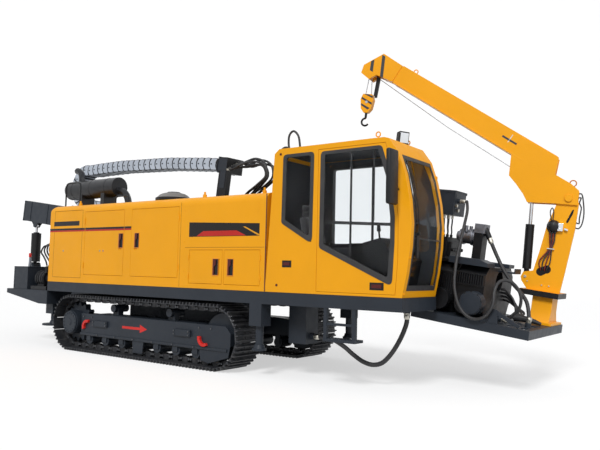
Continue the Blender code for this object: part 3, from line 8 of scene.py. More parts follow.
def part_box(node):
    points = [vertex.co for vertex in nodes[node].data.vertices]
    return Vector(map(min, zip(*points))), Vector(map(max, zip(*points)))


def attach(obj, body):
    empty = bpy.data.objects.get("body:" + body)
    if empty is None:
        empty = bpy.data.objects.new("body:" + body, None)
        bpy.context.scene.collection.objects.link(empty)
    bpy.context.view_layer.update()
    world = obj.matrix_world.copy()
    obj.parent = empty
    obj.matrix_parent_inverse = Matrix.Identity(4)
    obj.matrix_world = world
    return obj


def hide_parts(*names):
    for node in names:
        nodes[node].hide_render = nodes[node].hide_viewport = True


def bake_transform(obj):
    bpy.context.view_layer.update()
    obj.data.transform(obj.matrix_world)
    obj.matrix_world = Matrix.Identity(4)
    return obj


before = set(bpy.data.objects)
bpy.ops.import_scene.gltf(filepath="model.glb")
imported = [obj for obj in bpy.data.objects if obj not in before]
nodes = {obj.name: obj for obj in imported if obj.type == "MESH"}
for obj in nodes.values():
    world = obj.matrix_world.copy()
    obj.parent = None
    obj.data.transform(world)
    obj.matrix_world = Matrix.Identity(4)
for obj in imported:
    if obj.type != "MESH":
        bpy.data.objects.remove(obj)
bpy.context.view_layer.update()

scene = bpy.context.scene
scene.view_settings.view_transform = "Standard"


# Camera
# It stands at eye height off the machine's right front corner, about eleven metres from the cab,
# and looks slightly up. Places on the machine are measured from the ground amid the tracks.
machine = Vector((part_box("hood_shell")[0].x + 2.37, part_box("hood_shell")[0].y + 1.25, 0.0))
camera_place = Vector((8.12, -7.985, 1.45))
camera_yaw, camera_pitch, camera_roll = (math.radians(a) for a in (36.2, 4.0, 1.27))
camera_lens = 38.88
forward = Vector((
    -math.sin(camera_yaw) * math.cos(camera_pitch),
    math.cos(camera_yaw) * math.cos(camera_pitch),
    math.sin(camera_pitch),
))
camera = bpy.data.objects.new("camera", bpy.data.cameras.new("camera"))
scene.collection.objects.link(camera)
camera.data.lens = camera_lens
camera.data.clip_end = 200.0
camera.location = machine + camera_place
camera.rotation_mode = "QUATERNION"
camera.rotation_quaternion = forward.to_track_quat("-Z", "Y") @ Quaternion((0, 0, 1), camera_roll)
scene.camera = camera


# Floor, backdrop and lights
# A pale seamless floor that rises into a wall behind the machine, a broad sky and two soft lamps.
# The camera, mirrors and panes see the stage nearly white, while the lamps stay at a plain level.
def add_node(tree, kind, values=None, **settings):
    """A node with its settings and the steady values of its inputs."""
    made = tree.nodes.new(kind)
    for setting, value in settings.items():
        setattr(made, setting, value)
    for socket, value in (values or {}).items():
        made.inputs[socket].default_value = value
    return made


def seen_directly(tree):
    """One where a ray comes from the camera, a mirror surface or through glass."""
    path = add_node(tree, "ShaderNodeLightPath")
    found = path.outputs["Is Camera Ray"]
    for ray in ("Is Glossy Ray", "Is Transmission Ray"):
        either = add_node(tree, "ShaderNodeMath", operation="MAXIMUM")
        tree.links.new(found, either.inputs[0])
        tree.links.new(path.outputs[ray], either.inputs[1])
        found = either.outputs[0]
    return found


def stage_surface():
    made = bpy.data.materials.new("pale_stage")
    made.use_nodes = True
    tree = made.node_tree
    shader = tree.nodes["Principled BSDF"]
    for socket, value in (("Base Color", (0.52, 0.52, 0.52, 1.0)), ("Emission Color", (1.0, 1.0, 1.0, 1.0)),
                          ("Roughness", 0.9), ("Specular IOR Level", 0.0)):
        shader.inputs[socket].default_value = value
    scale = add_node(tree, "ShaderNodeMath", {1: 0.55}, operation="MULTIPLY")
    tree.links.new(seen_directly(tree), scale.inputs[0])
    tree.links.new(scale.outputs[0], shader.inputs["Emission Strength"])
    return made


def backdrop():
    floor_half, floor_front, wall_back, bend, wall_height = 60.0, -40.0, 40.0, 6.0, 30.0
    profile = [(floor_front, 0.0), (wall_back - bend, 0.0)]
    for step in range(1, 9):
        turn = math.radians(90 * step / 8)
        profile.append((wall_back - bend + bend * math.sin(turn), bend - bend * math.cos(turn)))
    profile.append((wall_back, wall_height))
    bm = bmesh.new()
    rows = []
    across, along = (forward.cross(Vector((0, 0, 1))).normalized(),
                     Vector((forward.x, forward.y, 0)).normalized())
    for distance, height in profile:
        middle = along * distance + Vector((0, 0, height))
        rows.append([bm.verts.new(middle + across * side * floor_half) for side in (-1, 1)])
    for low, high in zip(rows, rows[1:]):
        bm.faces.new((low[1], low[0], high[0], high[1]))
    data = bpy.data.meshes.new("backdrop")
    bm.to_mesh(data)
    bm.free()
    data.shade_smooth()
    data.materials.append(stage_surface())
    made = bpy.data.objects.new("backdrop", data)
    scene.collection.objects.link(made)


def lamp(name, kind, energy, place, aim, size):
    data = bpy.data.lights.new(name, kind)
    data.energy = energy
    if kind == "SUN":
        data.angle = math.radians(size)
    else:
        data.shape = "SQUARE"
        data.size = size
    made = bpy.data.objects.new(name, data)
    scene.collection.objects.link(made)
    made.location = place
    made.rotation_mode = "QUATERNION"
    made.rotation_quaternion = (Vector(aim) - Vector(place)).to_track_quat("-Z", "Y")


def sky():
    world = bpy.data.worlds.new("sky")
    scene.world = world
    world.use_nodes = True
    tree = world.node_tree
    background = tree.nodes["Background"]
    background.inputs["Color"].default_value = (0.97, 0.98, 1.0, 1.0)
    level = add_node(tree, "ShaderNodeMapRange", {"To Min": 0.42, "To Max": 1.0})
    tree.links.new(seen_directly(tree), level.inputs["Value"])
    tree.links.new(level.outputs[0], background.inputs["Strength"])


backdrop()
sky()
lamp("key", "SUN", 2.00, (3.0, -9.0, 9.0), (0.0, 0.0, 1.0), 16.0)
lamp("front", "AREA", 260.0, (13.0, -4.0, 7.0), (1.0, 0.0, 1.5), 6.0)


# Free hoses
# Rubber hoses in a ribbed guard hang between crimped steel fittings: the mud hose under the cab's
# deck, the loop from the valve box down round the vise, and the motor hose down to the platform.
tilt_pivot = Vector((3.10, 0.0, 1.23))
slope_angle = math.radians(7.5)
slope = Matrix.Translation(machine + tilt_pivot) @ Matrix.Rotation(slope_angle, 4, "Y")
on_machine = Matrix.Translation(machine)
seat_gap = 0.0003


def smooth_route(points, spacing):
    """Points at about one spacing along a smooth curve through a route's own points."""
    points = [Vector(p) for p in points]
    ends = [points[0] * 2 - points[1], *points, points[-1] * 2 - points[-2]]
    route = []
    for before, a, b, after in zip(ends, ends[1:], ends[2:], ends[3:]):
        steps = max(1, round((b - a).length / spacing))
        for step in range(steps):
            t = step / steps
            route.append(0.5 * (
                2 * a + (b - before) * t + (2 * before - 5 * a + 4 * b - after) * t * t
                + (3 * a - before - 3 * b + after) * t ** 3
            ))
    return [*route, points[-1]]


def add_pipe(bm, points, radii, sides=12):
    """A round skin along a row of points, with one radius or a radius for each point."""
    count = len(points)
    if isinstance(radii, (int, float)):
        radii = [radii] * count
    uv = bm.loops.layers.uv.verify()
    lengths = [0.0]
    for a, b in zip(points, points[1:]):
        lengths.append(lengths[-1] + (b - a).length)
    along = (points[1] - points[0]).normalized()
    side = along.orthogonal().normalized()
    rings = []
    for i, point in enumerate(points):
        ahead = points[min(i + 1, count - 1)] - points[max(i - 1, 0)]
        new_along = ahead.normalized()
        side = along.rotation_difference(new_along) @ side
        along = new_along
        up = along.cross(side).normalized()
        ring = []
        for k in range(sides):
            turn = 2 * math.pi * k / sides
            ring.append(bm.verts.new(point + (side * math.cos(turn) + up * math.sin(turn)) * radii[i]))
        rings.append(ring)
    for i, (low, high) in enumerate(zip(rings, rings[1:])):
        for k in range(sides):
            face = bm.faces.new((low[k], low[(k + 1) % sides], high[(k + 1) % sides], high[k]))
            shares = (k / sides, (k + 1) / sides, (k + 1) / sides, k / sides)
            runs = (lengths[i], lengths[i], lengths[i + 1], lengths[i + 1])
            for loop, share, run in zip(face.loops, shares, runs):
                loop[uv].uv = (run, share)
    bm.faces.new(rings[0][::-1])
    bm.faces.new(rings[-1])


def add_hose(bm, route, radius, carrier, sides=12, spacing=0.03):
    """A fixed hose through a row of places."""
    add_pipe(bm, smooth_route([carrier @ Vector(p) for p in route], spacing), radius, sides)


def piece(name, bm, surface, body, smooth=32.0):
    """A new piece of the machine from a finished bmesh, attached to its body when one is given."""
    bmesh.ops.remove_doubles(bm, verts=bm.verts, dist=0.00002)
    bmesh.ops.recalc_face_normals(bm, faces=bm.faces)
    data = bpy.data.meshes.new(name)
    bm.to_mesh(data)
    bm.free()
    data.shade_smooth()
    data.set_sharp_from_angle(angle=math.radians(smooth))
    data.materials.append(surface)
    made = bpy.data.objects.new(name, data)
    scene.collection.objects.link(made)
    if body:
        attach(made, body)
    return made


def blank_surface(name, colour, roughness, metallic=0.0):
    """A principled surface with its steady values on its own sockets."""
    made = bpy.data.materials.new(name)
    made.use_nodes = True
    shader = made.node_tree.nodes["Principled BSDF"]
    shader.inputs["Base Color"].default_value = (*colour, 1.0)
    shader.inputs["Roughness"].default_value = roughness
    shader.inputs["Metallic"].default_value = metallic
    return made, made.node_tree, shader


def pattern(tree, scale, detail=3.0):
    """Cloudy noise fixed to the piece."""
    place = add_node(tree, "ShaderNodeTexCoord")
    noise = add_node(tree, "ShaderNodeTexNoise", {"Scale": scale, "Detail": detail})
    tree.links.new(place.outputs["Object"], noise.inputs["Vector"])
    return noise.outputs["Fac"]


def ranged(tree, value, low, high, start=0.3, stop=0.7):
    """A noise value spread between two ends."""
    ends = {"From Min": start, "From Max": stop, "To Min": low, "To Max": high}
    spread = add_node(tree, "ShaderNodeMapRange", ends)
    tree.links.new(value, spread.inputs["Value"])
    return spread.outputs["Result"]


def mixed(tree, share, first, second):
    """A blend of two colours by a share from 0 to 1."""
    blend = add_node(tree, "ShaderNodeMix", data_type="RGBA")
    for socket, colour in zip((blend.inputs[6], blend.inputs[7]), (first, second)):
        if isinstance(colour, bpy.types.NodeSocket):
            tree.links.new(colour, socket)
        else:
            socket.default_value = (*colour, 1.0)
    tree.links.new(share, blend.inputs[0])
    return blend.outputs[2]


def raised(tree, shader, height, distance, strength=1.0):
    """Bump from a height pattern."""
    bump = add_node(tree, "ShaderNodeBump", {"Distance": distance, "Strength": strength})
    tree.links.new(height, bump.inputs["Height"])
    tree.links.new(bump.outputs["Normal"], shader.inputs["Normal"])


def rubber(name, colour=(0.014, 0.014, 0.016), roughness=0.55):
    made, tree, shader = blank_surface(name, colour, roughness)
    dusty = ranged(tree, pattern(tree, 5.0, 5.0), 0.0, 0.5, 0.45, 0.8)
    tree.links.new(mixed(tree, dusty, colour, (0.05, 0.048, 0.045)), shader.inputs["Base Color"])
    tree.links.new(ranged(tree, pattern(tree, 30.0), roughness - 0.08, roughness + 0.12),
                   shader.inputs["Roughness"])
    raised(tree, shader, pattern(tree, 420.0, 2.0), 0.0004, 0.6)
    return made


def bare_steel(name, colour=(0.46, 0.47, 0.49), roughness=0.28):
    made, tree, shader = blank_surface(name, colour, roughness, 1.0)
    worn = ranged(tree, pattern(tree, 14.0, 4.0), roughness - 0.08, roughness + 0.16)
    tree.links.new(worn, shader.inputs["Roughness"])
    shade = ranged(tree, pattern(tree, 3.0), 0.0, 0.6)
    tree.links.new(mixed(tree, shade, colour, tuple(c * 0.72 for c in colour)), shader.inputs["Base Color"])
    return made


hose_rubber = rubber("ribbed_hose_rubber")
fitting_steel = bare_steel("zinc_fitting", (0.52, 0.50, 0.44), 0.32)


def hose(name, frame_matrix, route, radius, rib_pitch, rib_height, body):
    """One ribbed hose along its route, with the guard's ribs standing on the rubber."""
    points = [frame_matrix @ p for p in smooth_route(route, rib_pitch / 2)]
    radii = [radius - rib_height * (i % 2) for i in range(len(points))]
    bm = bmesh.new()
    add_pipe(bm, points, radii, 14)
    made = piece(name + "_ribbed", bm, hose_rubber, body, 60.0)
    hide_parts(name)
    for number, (tip, inner) in enumerate(((points[0], points[4]), (points[-1], points[-5]))):
        along = (inner - tip).normalized()
        bm = bmesh.new()
        sleeve = [tip + along * step for step in (0.004, 0.012, 0.016, 0.055, 0.060, 0.075)]
        add_pipe(bm, sleeve, [radius + 0.002, radius + 0.006, radius + 0.008, radius + 0.008, radius + 0.005,
                              radius + 0.001], 16)
        add_pipe(bm, [tip + along * 0.001, tip + along * 0.014], radius + 0.010, 6)
        piece(f"{name}_fitting_{number}", bm, fitting_steel, body, 30.0)


def free_hoses():
    y = -0.70
    mud_outlet, mud_inlet = (3.08, 0.56), (4.45, 0.95)
    start = mud_outlet[0] + seat_gap
    end = mud_inlet[1] - seat_gap
    hose("mud_hose", on_machine, [
        (start, y, 0.56), (start + 0.10, y, 0.56), (3.36, y, 0.545), (3.54, y, 0.47), (3.70, y, 0.37),
        (3.84, y, 0.30), (3.98, y, 0.275), (4.11, y, 0.31), (4.22, y, 0.41), (4.32, y, 0.55),
        (4.40, y, 0.70), (mud_inlet[0], y, mud_inlet[1] - 0.11), (mud_inlet[0], y, end),
    ], 0.03, 0.020, 0.0012, "chassis")
    u, y, w = 1.44, 0.34, 1.40
    end_u, end_y, end_w = 2.30, 0.04, -0.03
    hose("loop_hose", slope, [
        (u + seat_gap, y, w), (u + 0.08, y, w), (1.56, 0.28, 1.39), (1.62, 0.18, 1.27), (1.655, 0.06, 1.10),
        (1.68, -0.05, 0.90), (1.70, -0.15, 0.69), (1.73, -0.23, 0.48), (1.765, -0.275, 0.29),
        (1.84, -0.285, 0.10), (1.95, -0.285, -0.02), (2.08, -0.285, -0.055), (2.20, -0.285, 0.0),
        (2.27, -0.27, 0.14), (2.255, -0.22, 0.32), (2.27, -0.14, 0.43), (2.34, -0.06, 0.46),
        (2.43, 0.0, 0.41), (2.50, 0.03, 0.29), (2.50, 0.04, 0.15), (2.44, 0.04, 0.06),
        (end_u + 0.05, end_y, end_w), (end_u + seat_gap, end_y, end_w),
    ], 0.02, 0.016, 0.0016, "drill_mast")
    port, aim = Vector((1.90, 0.36, 0.95)), Vector((0.5, 0.0, -0.866)).normalized()
    end_u, end_y, end_w = 2.60, 0.135, -0.02
    hose("diagonal_hose", slope, [
        port + aim * seat_gap, port + aim * 0.08, (2.03, 0.36, 0.73), (2.15, 0.34, 0.56), (2.29, 0.30, 0.42),
        (2.43, 0.24, 0.32), (2.54, 0.18, 0.21), (end_u, end_y, end_w + 0.06),
        (end_u, end_y, end_w + seat_gap),
    ], 0.025, 0.018, 0.0018, "drill_mast")


free_hoses()


# Paint of the machine
# Two-pack enamel sprayed on steel plate: warm yellow on hood, cab and crane, slate grey on the
# frames, satin black on the equipment. It shows a faint orange peel and a little unevenness.
def enamel(name, colour, roughness=0.34, coat=0.35, peel=0.00025, shade=0.90):
    made, tree, shader = blank_surface(name, colour, roughness)
    shader.inputs["Coat Weight"].default_value = coat
    shader.inputs["Coat Roughness"].default_value = 0.15
    shader.inputs["Specular IOR Level"].default_value = 0.25
    clouds = ranged(tree, pattern(tree, 1.7, 4.0), 0.0, 1.0)
    darker = tuple(c * shade for c in colour)
    tree.links.new(mixed(tree, clouds, colour, darker), shader.inputs["Base Color"])
    uneven = ranged(tree, pattern(tree, 9.0, 4.0), roughness - 0.05, roughness + 0.09)
    tree.links.new(uneven, shader.inputs["Roughness"])
    raised(tree, shader, pattern(tree, 140.0, 2.0), peel, 0.5)
    return made


yellow_enamel = enamel("yellow_enamel", (0.90, 0.385, 0.004), 0.40, 0.06, shade=0.94)
slate_enamel = enamel("slate_enamel", (0.022, 0.028, 0.038), 0.46, 0.04, 0.0004, 0.80)
black_enamel = enamel("black_enamel", (0.008, 0.0085, 0.010), 0.44, 0.05, 0.0004, 0.70)
red_enamel = enamel("red_enamel", (0.66, 0.022, 0.016), 0.38, 0.15)


def eased(name, surface, edge=0.004, smooth=32.0):
    """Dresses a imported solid: its surface, smooth round faces and edges eased as paint leaves them."""
    made = nodes[name]
    made.data.materials.clear()
    made.data.materials.append(surface)
    kept_normals = made.data.attributes.get("custom_normal")
    if kept_normals:
        made.data.attributes.remove(kept_normals)
    made.data.shade_smooth()
    weld = made.modifiers.new("weld", "WELD")
    weld.merge_threshold = 0.00005
    plain = made.modifiers.new("plain", "DECIMATE")
    plain.decimate_type = "DISSOLVE"
    plain.angle_limit = math.radians(0.4)
    bevel = made.modifiers.new("edge", "BEVEL")
    bevel.width = edge
    bevel.segments = 2
    bevel.limit_method = "ANGLE"
    bevel.angle_limit = math.radians(smooth)
    bevel.harden_normals = True
    return made


for name in ("hood_shell", "hood_door_1", "hood_door_2", "hood_door_3", "hood_door_4", "cab_shell",
             "cab_door",
             "crane_base", "crane_column", "boom_outer", "boom_inner"):
    eased(name, yellow_enamel)
for name in ("chassis_frame", "rear_frame", "undercarriage_beam", "track_frame_R", "track_frame_L",
             "cab_step",
             "rear_box", "drill_frame", "front_platform", "valve_box", "jack_leg_FR", "jack_leg_FL",
             "jack_leg_RR",
             "jack_leg_RL", "idler_R", "idler_L", "sprocket_R", "sprocket_L"):
    eased(name, slate_enamel, 0.003)
for name in ("muffler", "vent_dome", "hood_rail_rear", "hood_rail_front", "mirror", "work_light",
             "vise_rear",
             "vise_front", "power_head", "lift_barrel_R", "lift_barrel_L", "luff_barrel", "seat", "console",
             "engine_block"):
    eased(name, black_enamel, 0.002)


# Tracks
# Cast and rolled track steel, dark with a dusty film between the grousers and polished on their
# tips; the link plates, pins and shoe bolts show between the shoes and the frame.
def worn_steel(name, colour, dust, tips):
    made, tree, shader = blank_surface(name, colour, 0.5, 0.55)
    film = ranged(tree, pattern(tree, 11.0, 6.0), 0.0, 0.75, 0.38, 0.72)
    tree.links.new(mixed(tree, film, colour, dust), shader.inputs["Base Color"])
    tree.links.new(ranged(tree, pattern(tree, 26.0, 4.0), tips, 0.68), shader.inputs["Roughness"])
    raised(tree, shader, pattern(tree, 170.0, 3.0), 0.0010, 0.7)
    return made


track_steel = worn_steel("track_steel", (0.030, 0.032, 0.038), (0.075, 0.074, 0.074), 0.38)
pin_steel = worn_steel("track_pin_steel", (0.10, 0.105, 0.115), (0.05, 0.05, 0.052), 0.30)
axle_z, axle_x, link_radius, shoe_count = 0.475, 1.705, 0.425, 46
track_middle, shoe_half, link_half = 0.975, 0.275, 0.085


def arc_points(centre, radius, start, end, steps):
    turns = [math.radians(start + (end - start) * i / steps) for i in range(steps + 1)]
    return [(centre[0] + radius * math.cos(t), centre[1] + radius * math.sin(t)) for t in turns]


def loop_place(share, radius):
    """A place round the track's loop and the outward direction there, in the side view."""
    straight, bend = 2 * axle_x, math.pi * link_radius
    run = (share % 1.0) * 2 * (straight + bend)
    if run < straight:
        return Vector((-axle_x + run, 0, axle_z + radius)), Vector((0, 0, 1))
    if run < straight + bend:
        turn = math.pi / 2 - (run - straight) / link_radius
        out = Vector((math.cos(turn), 0, math.sin(turn)))
        return Vector((axle_x, 0, axle_z)) + out * radius, out
    if run < 2 * straight + bend:
        return Vector((axle_x - (run - straight - bend), 0, axle_z - radius)), Vector((0, 0, -1))
    turn = -math.pi / 2 - (run - 2 * straight - bend) / link_radius
    out = Vector((math.cos(turn), 0, math.sin(turn)))
    return Vector((-axle_x, 0, axle_z)) + out * radius, out


def repeat_tree(name, build):
    """A node tree that sets one small shape on every point, turned by the points' own directions."""
    tree = bpy.data.node_groups.new(name, "GeometryNodeTree")
    for socket, kind in (("Points", "Geometry"), ("Width", "Float"), ("Height", "Float"),
                         ("Surface", "Material"),
                         ("Shape", "Object")):
        tree.interface.new_socket(socket, in_out="INPUT", socket_type="NodeSocket" + kind)
    tree.interface.new_socket("Shapes", in_out="OUTPUT", socket_type="NodeSocketGeometry")
    given = tree.nodes.new("NodeGroupInput")
    result = tree.nodes.new("NodeGroupOutput")
    shape = build(tree, given)
    put = tree.nodes.new("GeometryNodeInstanceOnPoints")
    turn = None
    for axis, attribute in (("Z", "outward"), ("X", "along")):
        direction = add_node(tree, "GeometryNodeInputNamedAttribute", data_type="FLOAT_VECTOR")
        direction.inputs["Name"].default_value = attribute
        align = add_node(tree, "FunctionNodeAlignRotationToVector", axis=axis)
        align.pivot_axis = "AUTO" if axis == "Z" else "Z"
        tree.links.new(direction.outputs["Attribute"], align.inputs["Vector"])
        if turn:
            tree.links.new(turn, align.inputs["Rotation"])
        turn = align.outputs["Rotation"]
    real = tree.nodes.new("GeometryNodeRealizeInstances")
    finish = tree.nodes.new("GeometryNodeSetMaterial")
    tree.links.new(given.outputs["Points"], put.inputs["Points"])
    tree.links.new(shape, put.inputs["Instance"])
    tree.links.new(turn, put.inputs["Rotation"])
    tree.links.new(put.outputs["Instances"], real.inputs["Geometry"])
    tree.links.new(real.outputs["Geometry"], finish.inputs["Geometry"])
    tree.links.new(given.outputs["Surface"], finish.inputs["Material"])
    tree.links.new(finish.outputs["Geometry"], result.inputs["Shapes"])
    return tree


def prism_shape(sides):
    """A builder of a straight prism that stands on its point, for bolt heads, pins and bosses."""
    def build(tree, given):
        head = add_node(tree, "GeometryNodeMeshCylinder", {"Vertices": sides})
        half, middle = (add_node(tree, "ShaderNodeMath", {1: share}, operation="MULTIPLY")
                        for share in (0.5, 0.45))
        lift = add_node(tree, "ShaderNodeCombineXYZ")
        stand = add_node(tree, "GeometryNodeTransform")
        tree.links.new(given.outputs["Width"], half.inputs[0])
        tree.links.new(half.outputs[0], head.inputs["Radius"])
        tree.links.new(given.outputs["Height"], head.inputs["Depth"])
        tree.links.new(given.outputs["Height"], middle.inputs[0])
        tree.links.new(middle.outputs[0], lift.inputs["Z"])
        tree.links.new(head.outputs["Mesh"], stand.inputs["Geometry"])
        tree.links.new(lift.outputs["Vector"], stand.inputs["Translation"])
        return stand.outputs["Geometry"]
    return build


def made_shape(tree, given):
    """A builder that takes its shape from one modelled piece."""
    source = tree.nodes.new("GeometryNodeObjectInfo")
    tree.links.new(given.outputs["Shape"], source.inputs["Object"])
    return source.outputs["Geometry"]


bolt_tree = repeat_tree("bolt_heads", prism_shape(6))
pin_tree = repeat_tree("round_pins", prism_shape(14))
shape_tree = repeat_tree("like_pieces", made_shape)


def repeated(name, tree, places, width, height, surface, body, shape=None):
    """Grows one shape on each place, given as point, outward direction and direction along."""
    data = bpy.data.meshes.new(name)
    data.from_pydata([tuple(p[0]) for p in places], [], [])
    for attribute, column in (("outward", 1), ("along", 2)):
        stored = data.attributes.new(attribute, "FLOAT_VECTOR", "POINT")
        for item, place in zip(stored.data, places):
            item.vector = place[column]
    made = bpy.data.objects.new(name, data)
    scene.collection.objects.link(made)
    grow = made.modifiers.new("grow", "NODES")
    grow.node_group = tree
    ids = {item.name: item.identifier for item in tree.interface.items_tree if item.in_out == "INPUT"}
    grow[ids["Width"]] = width
    grow[ids["Height"]] = height
    grow[ids["Surface"]] = surface
    if shape:
        grow[ids["Shape"]] = shape
    bpy.context.view_layer.update()
    grown = bpy.data.meshes.new_from_object(made.evaluated_get(bpy.context.evaluated_depsgraph_get()))
    grown.name = name
    made.modifiers.remove(grow)
    made.data = grown
    if shape:
        bpy.data.objects.remove(shape, do_unlink=True)
    grown.shade_smooth()
    grown.set_sharp_from_angle(angle=math.radians(32.0))
    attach(made, body)
    return made


def profile_shape(name, outline, half, round_ends=0.0):
    """A small piece from a side view in X and Z, given its width either way across."""
    bm = bmesh.new()
    inner = half - round_ends
    for near, far, lower in ((-half, -inner, round_ends), (-inner, inner, 0.0), (inner, half, round_ends)):
        if near == far:
            continue
        near_lift, far_lift = (lower, 0.0) if near < 0 else (0.0, lower)
        if near == -inner:
            near_lift, far_lift = 0.0, 0.0
        rings = []
        for y, drop in ((near, near_lift), (far, far_lift)):
            rings.append([bm.verts.new((a, y, b - (drop if b > 0 else 0.0))) for a, b in outline])
        count = len(outline)
        if near == -half:
            bm.faces.new(rings[0])
        if far == half:
            bm.faces.new(rings[1][::-1])
        for k in range(count):
            bm.faces.new((rings[0][k], rings[1][k], rings[1][(k + 1) % count], rings[0][(k + 1) % count]))
    bmesh.ops.remove_doubles(bm, verts=bm.verts, dist=0.00002)
    bmesh.ops.recalc_face_normals(bm, faces=bm.faces)
    data = bpy.data.meshes.new(name)
    bm.to_mesh(data)
    bm.free()
    made = bpy.data.objects.new(name, data)
    scene.collection.objects.link(made)
    return made


# A shoe's side view from its back plate: three grousers with troughs between, and lapped ends
shoe_pitch = 2 * (2 * axle_x + math.pi * link_radius) / shoe_count
plate_depth, grouser_height, grouser_half, chord_drop = 0.014, 0.036, 0.008, 0.0075
shoe_outline = [(-0.47 * shoe_pitch, 0.0), (0.50 * shoe_pitch, 0.0), (0.50 * shoe_pitch, plate_depth)]
for share in (0.36, 0.02, -0.32):
    middle = share * shoe_pitch
    foot, crown = grouser_half * 1.9, grouser_half
    shoe_outline += [(middle + foot, plate_depth), (middle + crown, plate_depth + grouser_height),
                     (middle - crown, plate_depth + grouser_height), (middle - foot, plate_depth)]
shoe_outline.append((-0.47 * shoe_pitch, plate_depth))
link_outline = arc_points((-0.052, -0.046), 0.028, 100, 260, 5) + [(-0.010, -0.075), (0.030, -0.075)]
link_outline += arc_points((0.060, -0.046), 0.026, -80, 80, 5) + [(0.045, 0.0), (-0.045, 0.0)]


def track_dress(side, name):
    across = Vector((0, 1, 0))
    shoes, links, pins, bolts = [], [], [], []
    for i in range(shoe_count):
        spot, out = loop_place((i + 0.5) / shoe_count, link_radius)
        if abs(out.x) > 0.001:
            spot -= out * chord_drop
        shoes.append((machine + spot + across * (side * track_middle), out, across.cross(out)))
        for face in (-1, 1):
            y = side * track_middle + face * (link_half - 0.016)
            links.append((machine + spot + across * y, out, across.cross(out)))
            for share in (0.10, 0.90):
                spot_pin, out_pin = loop_place((i + share) / shoe_count, link_radius - 0.046)
                pins.append((machine + spot_pin + across * (y + face * 0.016), across * face, out_pin))
        for offset in (-0.060, 0.060):
            for share in (0.35, 0.69):
                spot_bolt, out_bolt = loop_place((i + share) / shoe_count, link_radius + plate_depth - 0.001)
                bolts.append((machine + spot_bolt + across * (side * track_middle + offset), out_bolt,
                              across))
    shape = profile_shape("shoe", shoe_outline, shoe_half, 0.010)
    made = repeated("track_shoes_" + name, shape_tree, shoes, 1, 1, track_steel, "chassis", shape=shape)
    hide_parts("track_" + name)
    shape = profile_shape("link", link_outline, 0.016)
    repeated("track_links_" + name, shape_tree, links, 1, 1, track_steel, "chassis", shape=shape)
    repeated("track_pins_" + name, pin_tree, pins, 0.036, 0.014, pin_steel, "chassis")
    repeated("track_shoe_bolts_" + name, bolt_tree, bolts, 0.022, 0.010, track_steel, "chassis")


track_dress(-1, "R")
track_dress(1, "L")


# Undercarriage dress
# The red bent tow hooks and the painted travel arrow on the frame's side plate, the bolts of its
# covers and the plain hub cover of the track drive with its ring of bolts.
def add_prism(bm, outline, near, far, carrier=on_machine):
    """A side view given its thickness across the machine."""
    rings = [[bm.verts.new(carrier @ Vector((a, y, b))) for a, b in outline] for y in (near, far)]
    count = len(outline)
    bm.faces.new(rings[0])
    bm.faces.new(rings[1][::-1])
    for k in range(count):
        bm.faces.new((rings[0][k], rings[1][k], rings[1][(k + 1) % count], rings[0][(k + 1) % count]))


def strip(x0, x1, z0, z1):
    return [(x0, z0), (x1, z0), (x1, z1), (x0, z1)]


def add_box(bm, low, high, carrier=on_machine):
    add_prism(bm, strip(low[0], high[0], low[2], high[2]), low[1], high[1], carrier)


def add_frame(bm, outer, inner, near, far, carrier=on_machine):
    """A flat ring between two outlines of as many points, given its thickness."""
    rings = []
    for outline, y in ((outer, near), (outer, far), (inner, far), (inner, near)):
        rings.append([bm.verts.new(carrier @ Vector((a, y, b))) for a, b in outline])
    count = len(outer)
    for ring, following in zip(rings, [*rings[1:], rings[0]]):
        for k in range(count):
            bm.faces.new((ring[k], ring[(k + 1) % count], following[(k + 1) % count], following[k]))


def add_round(bm, start, end, radius, sides=20, carrier=on_machine, end_radius=None):
    """A round bar between two places."""
    points = [carrier @ Vector(start), carrier @ Vector(end)]
    add_pipe(bm, points, [radius, radius if end_radius is None else end_radius], sides)


def softened(made, width=0.003, segments=2):
    """Eases the edges of a finished piece."""
    bevel = made.modifiers.new("edge", "BEVEL")
    bevel.width = width
    bevel.segments = segments
    bevel.limit_method = "ANGLE"
    bevel.angle_limit = math.radians(32)
    bevel.harden_normals = True
    return made


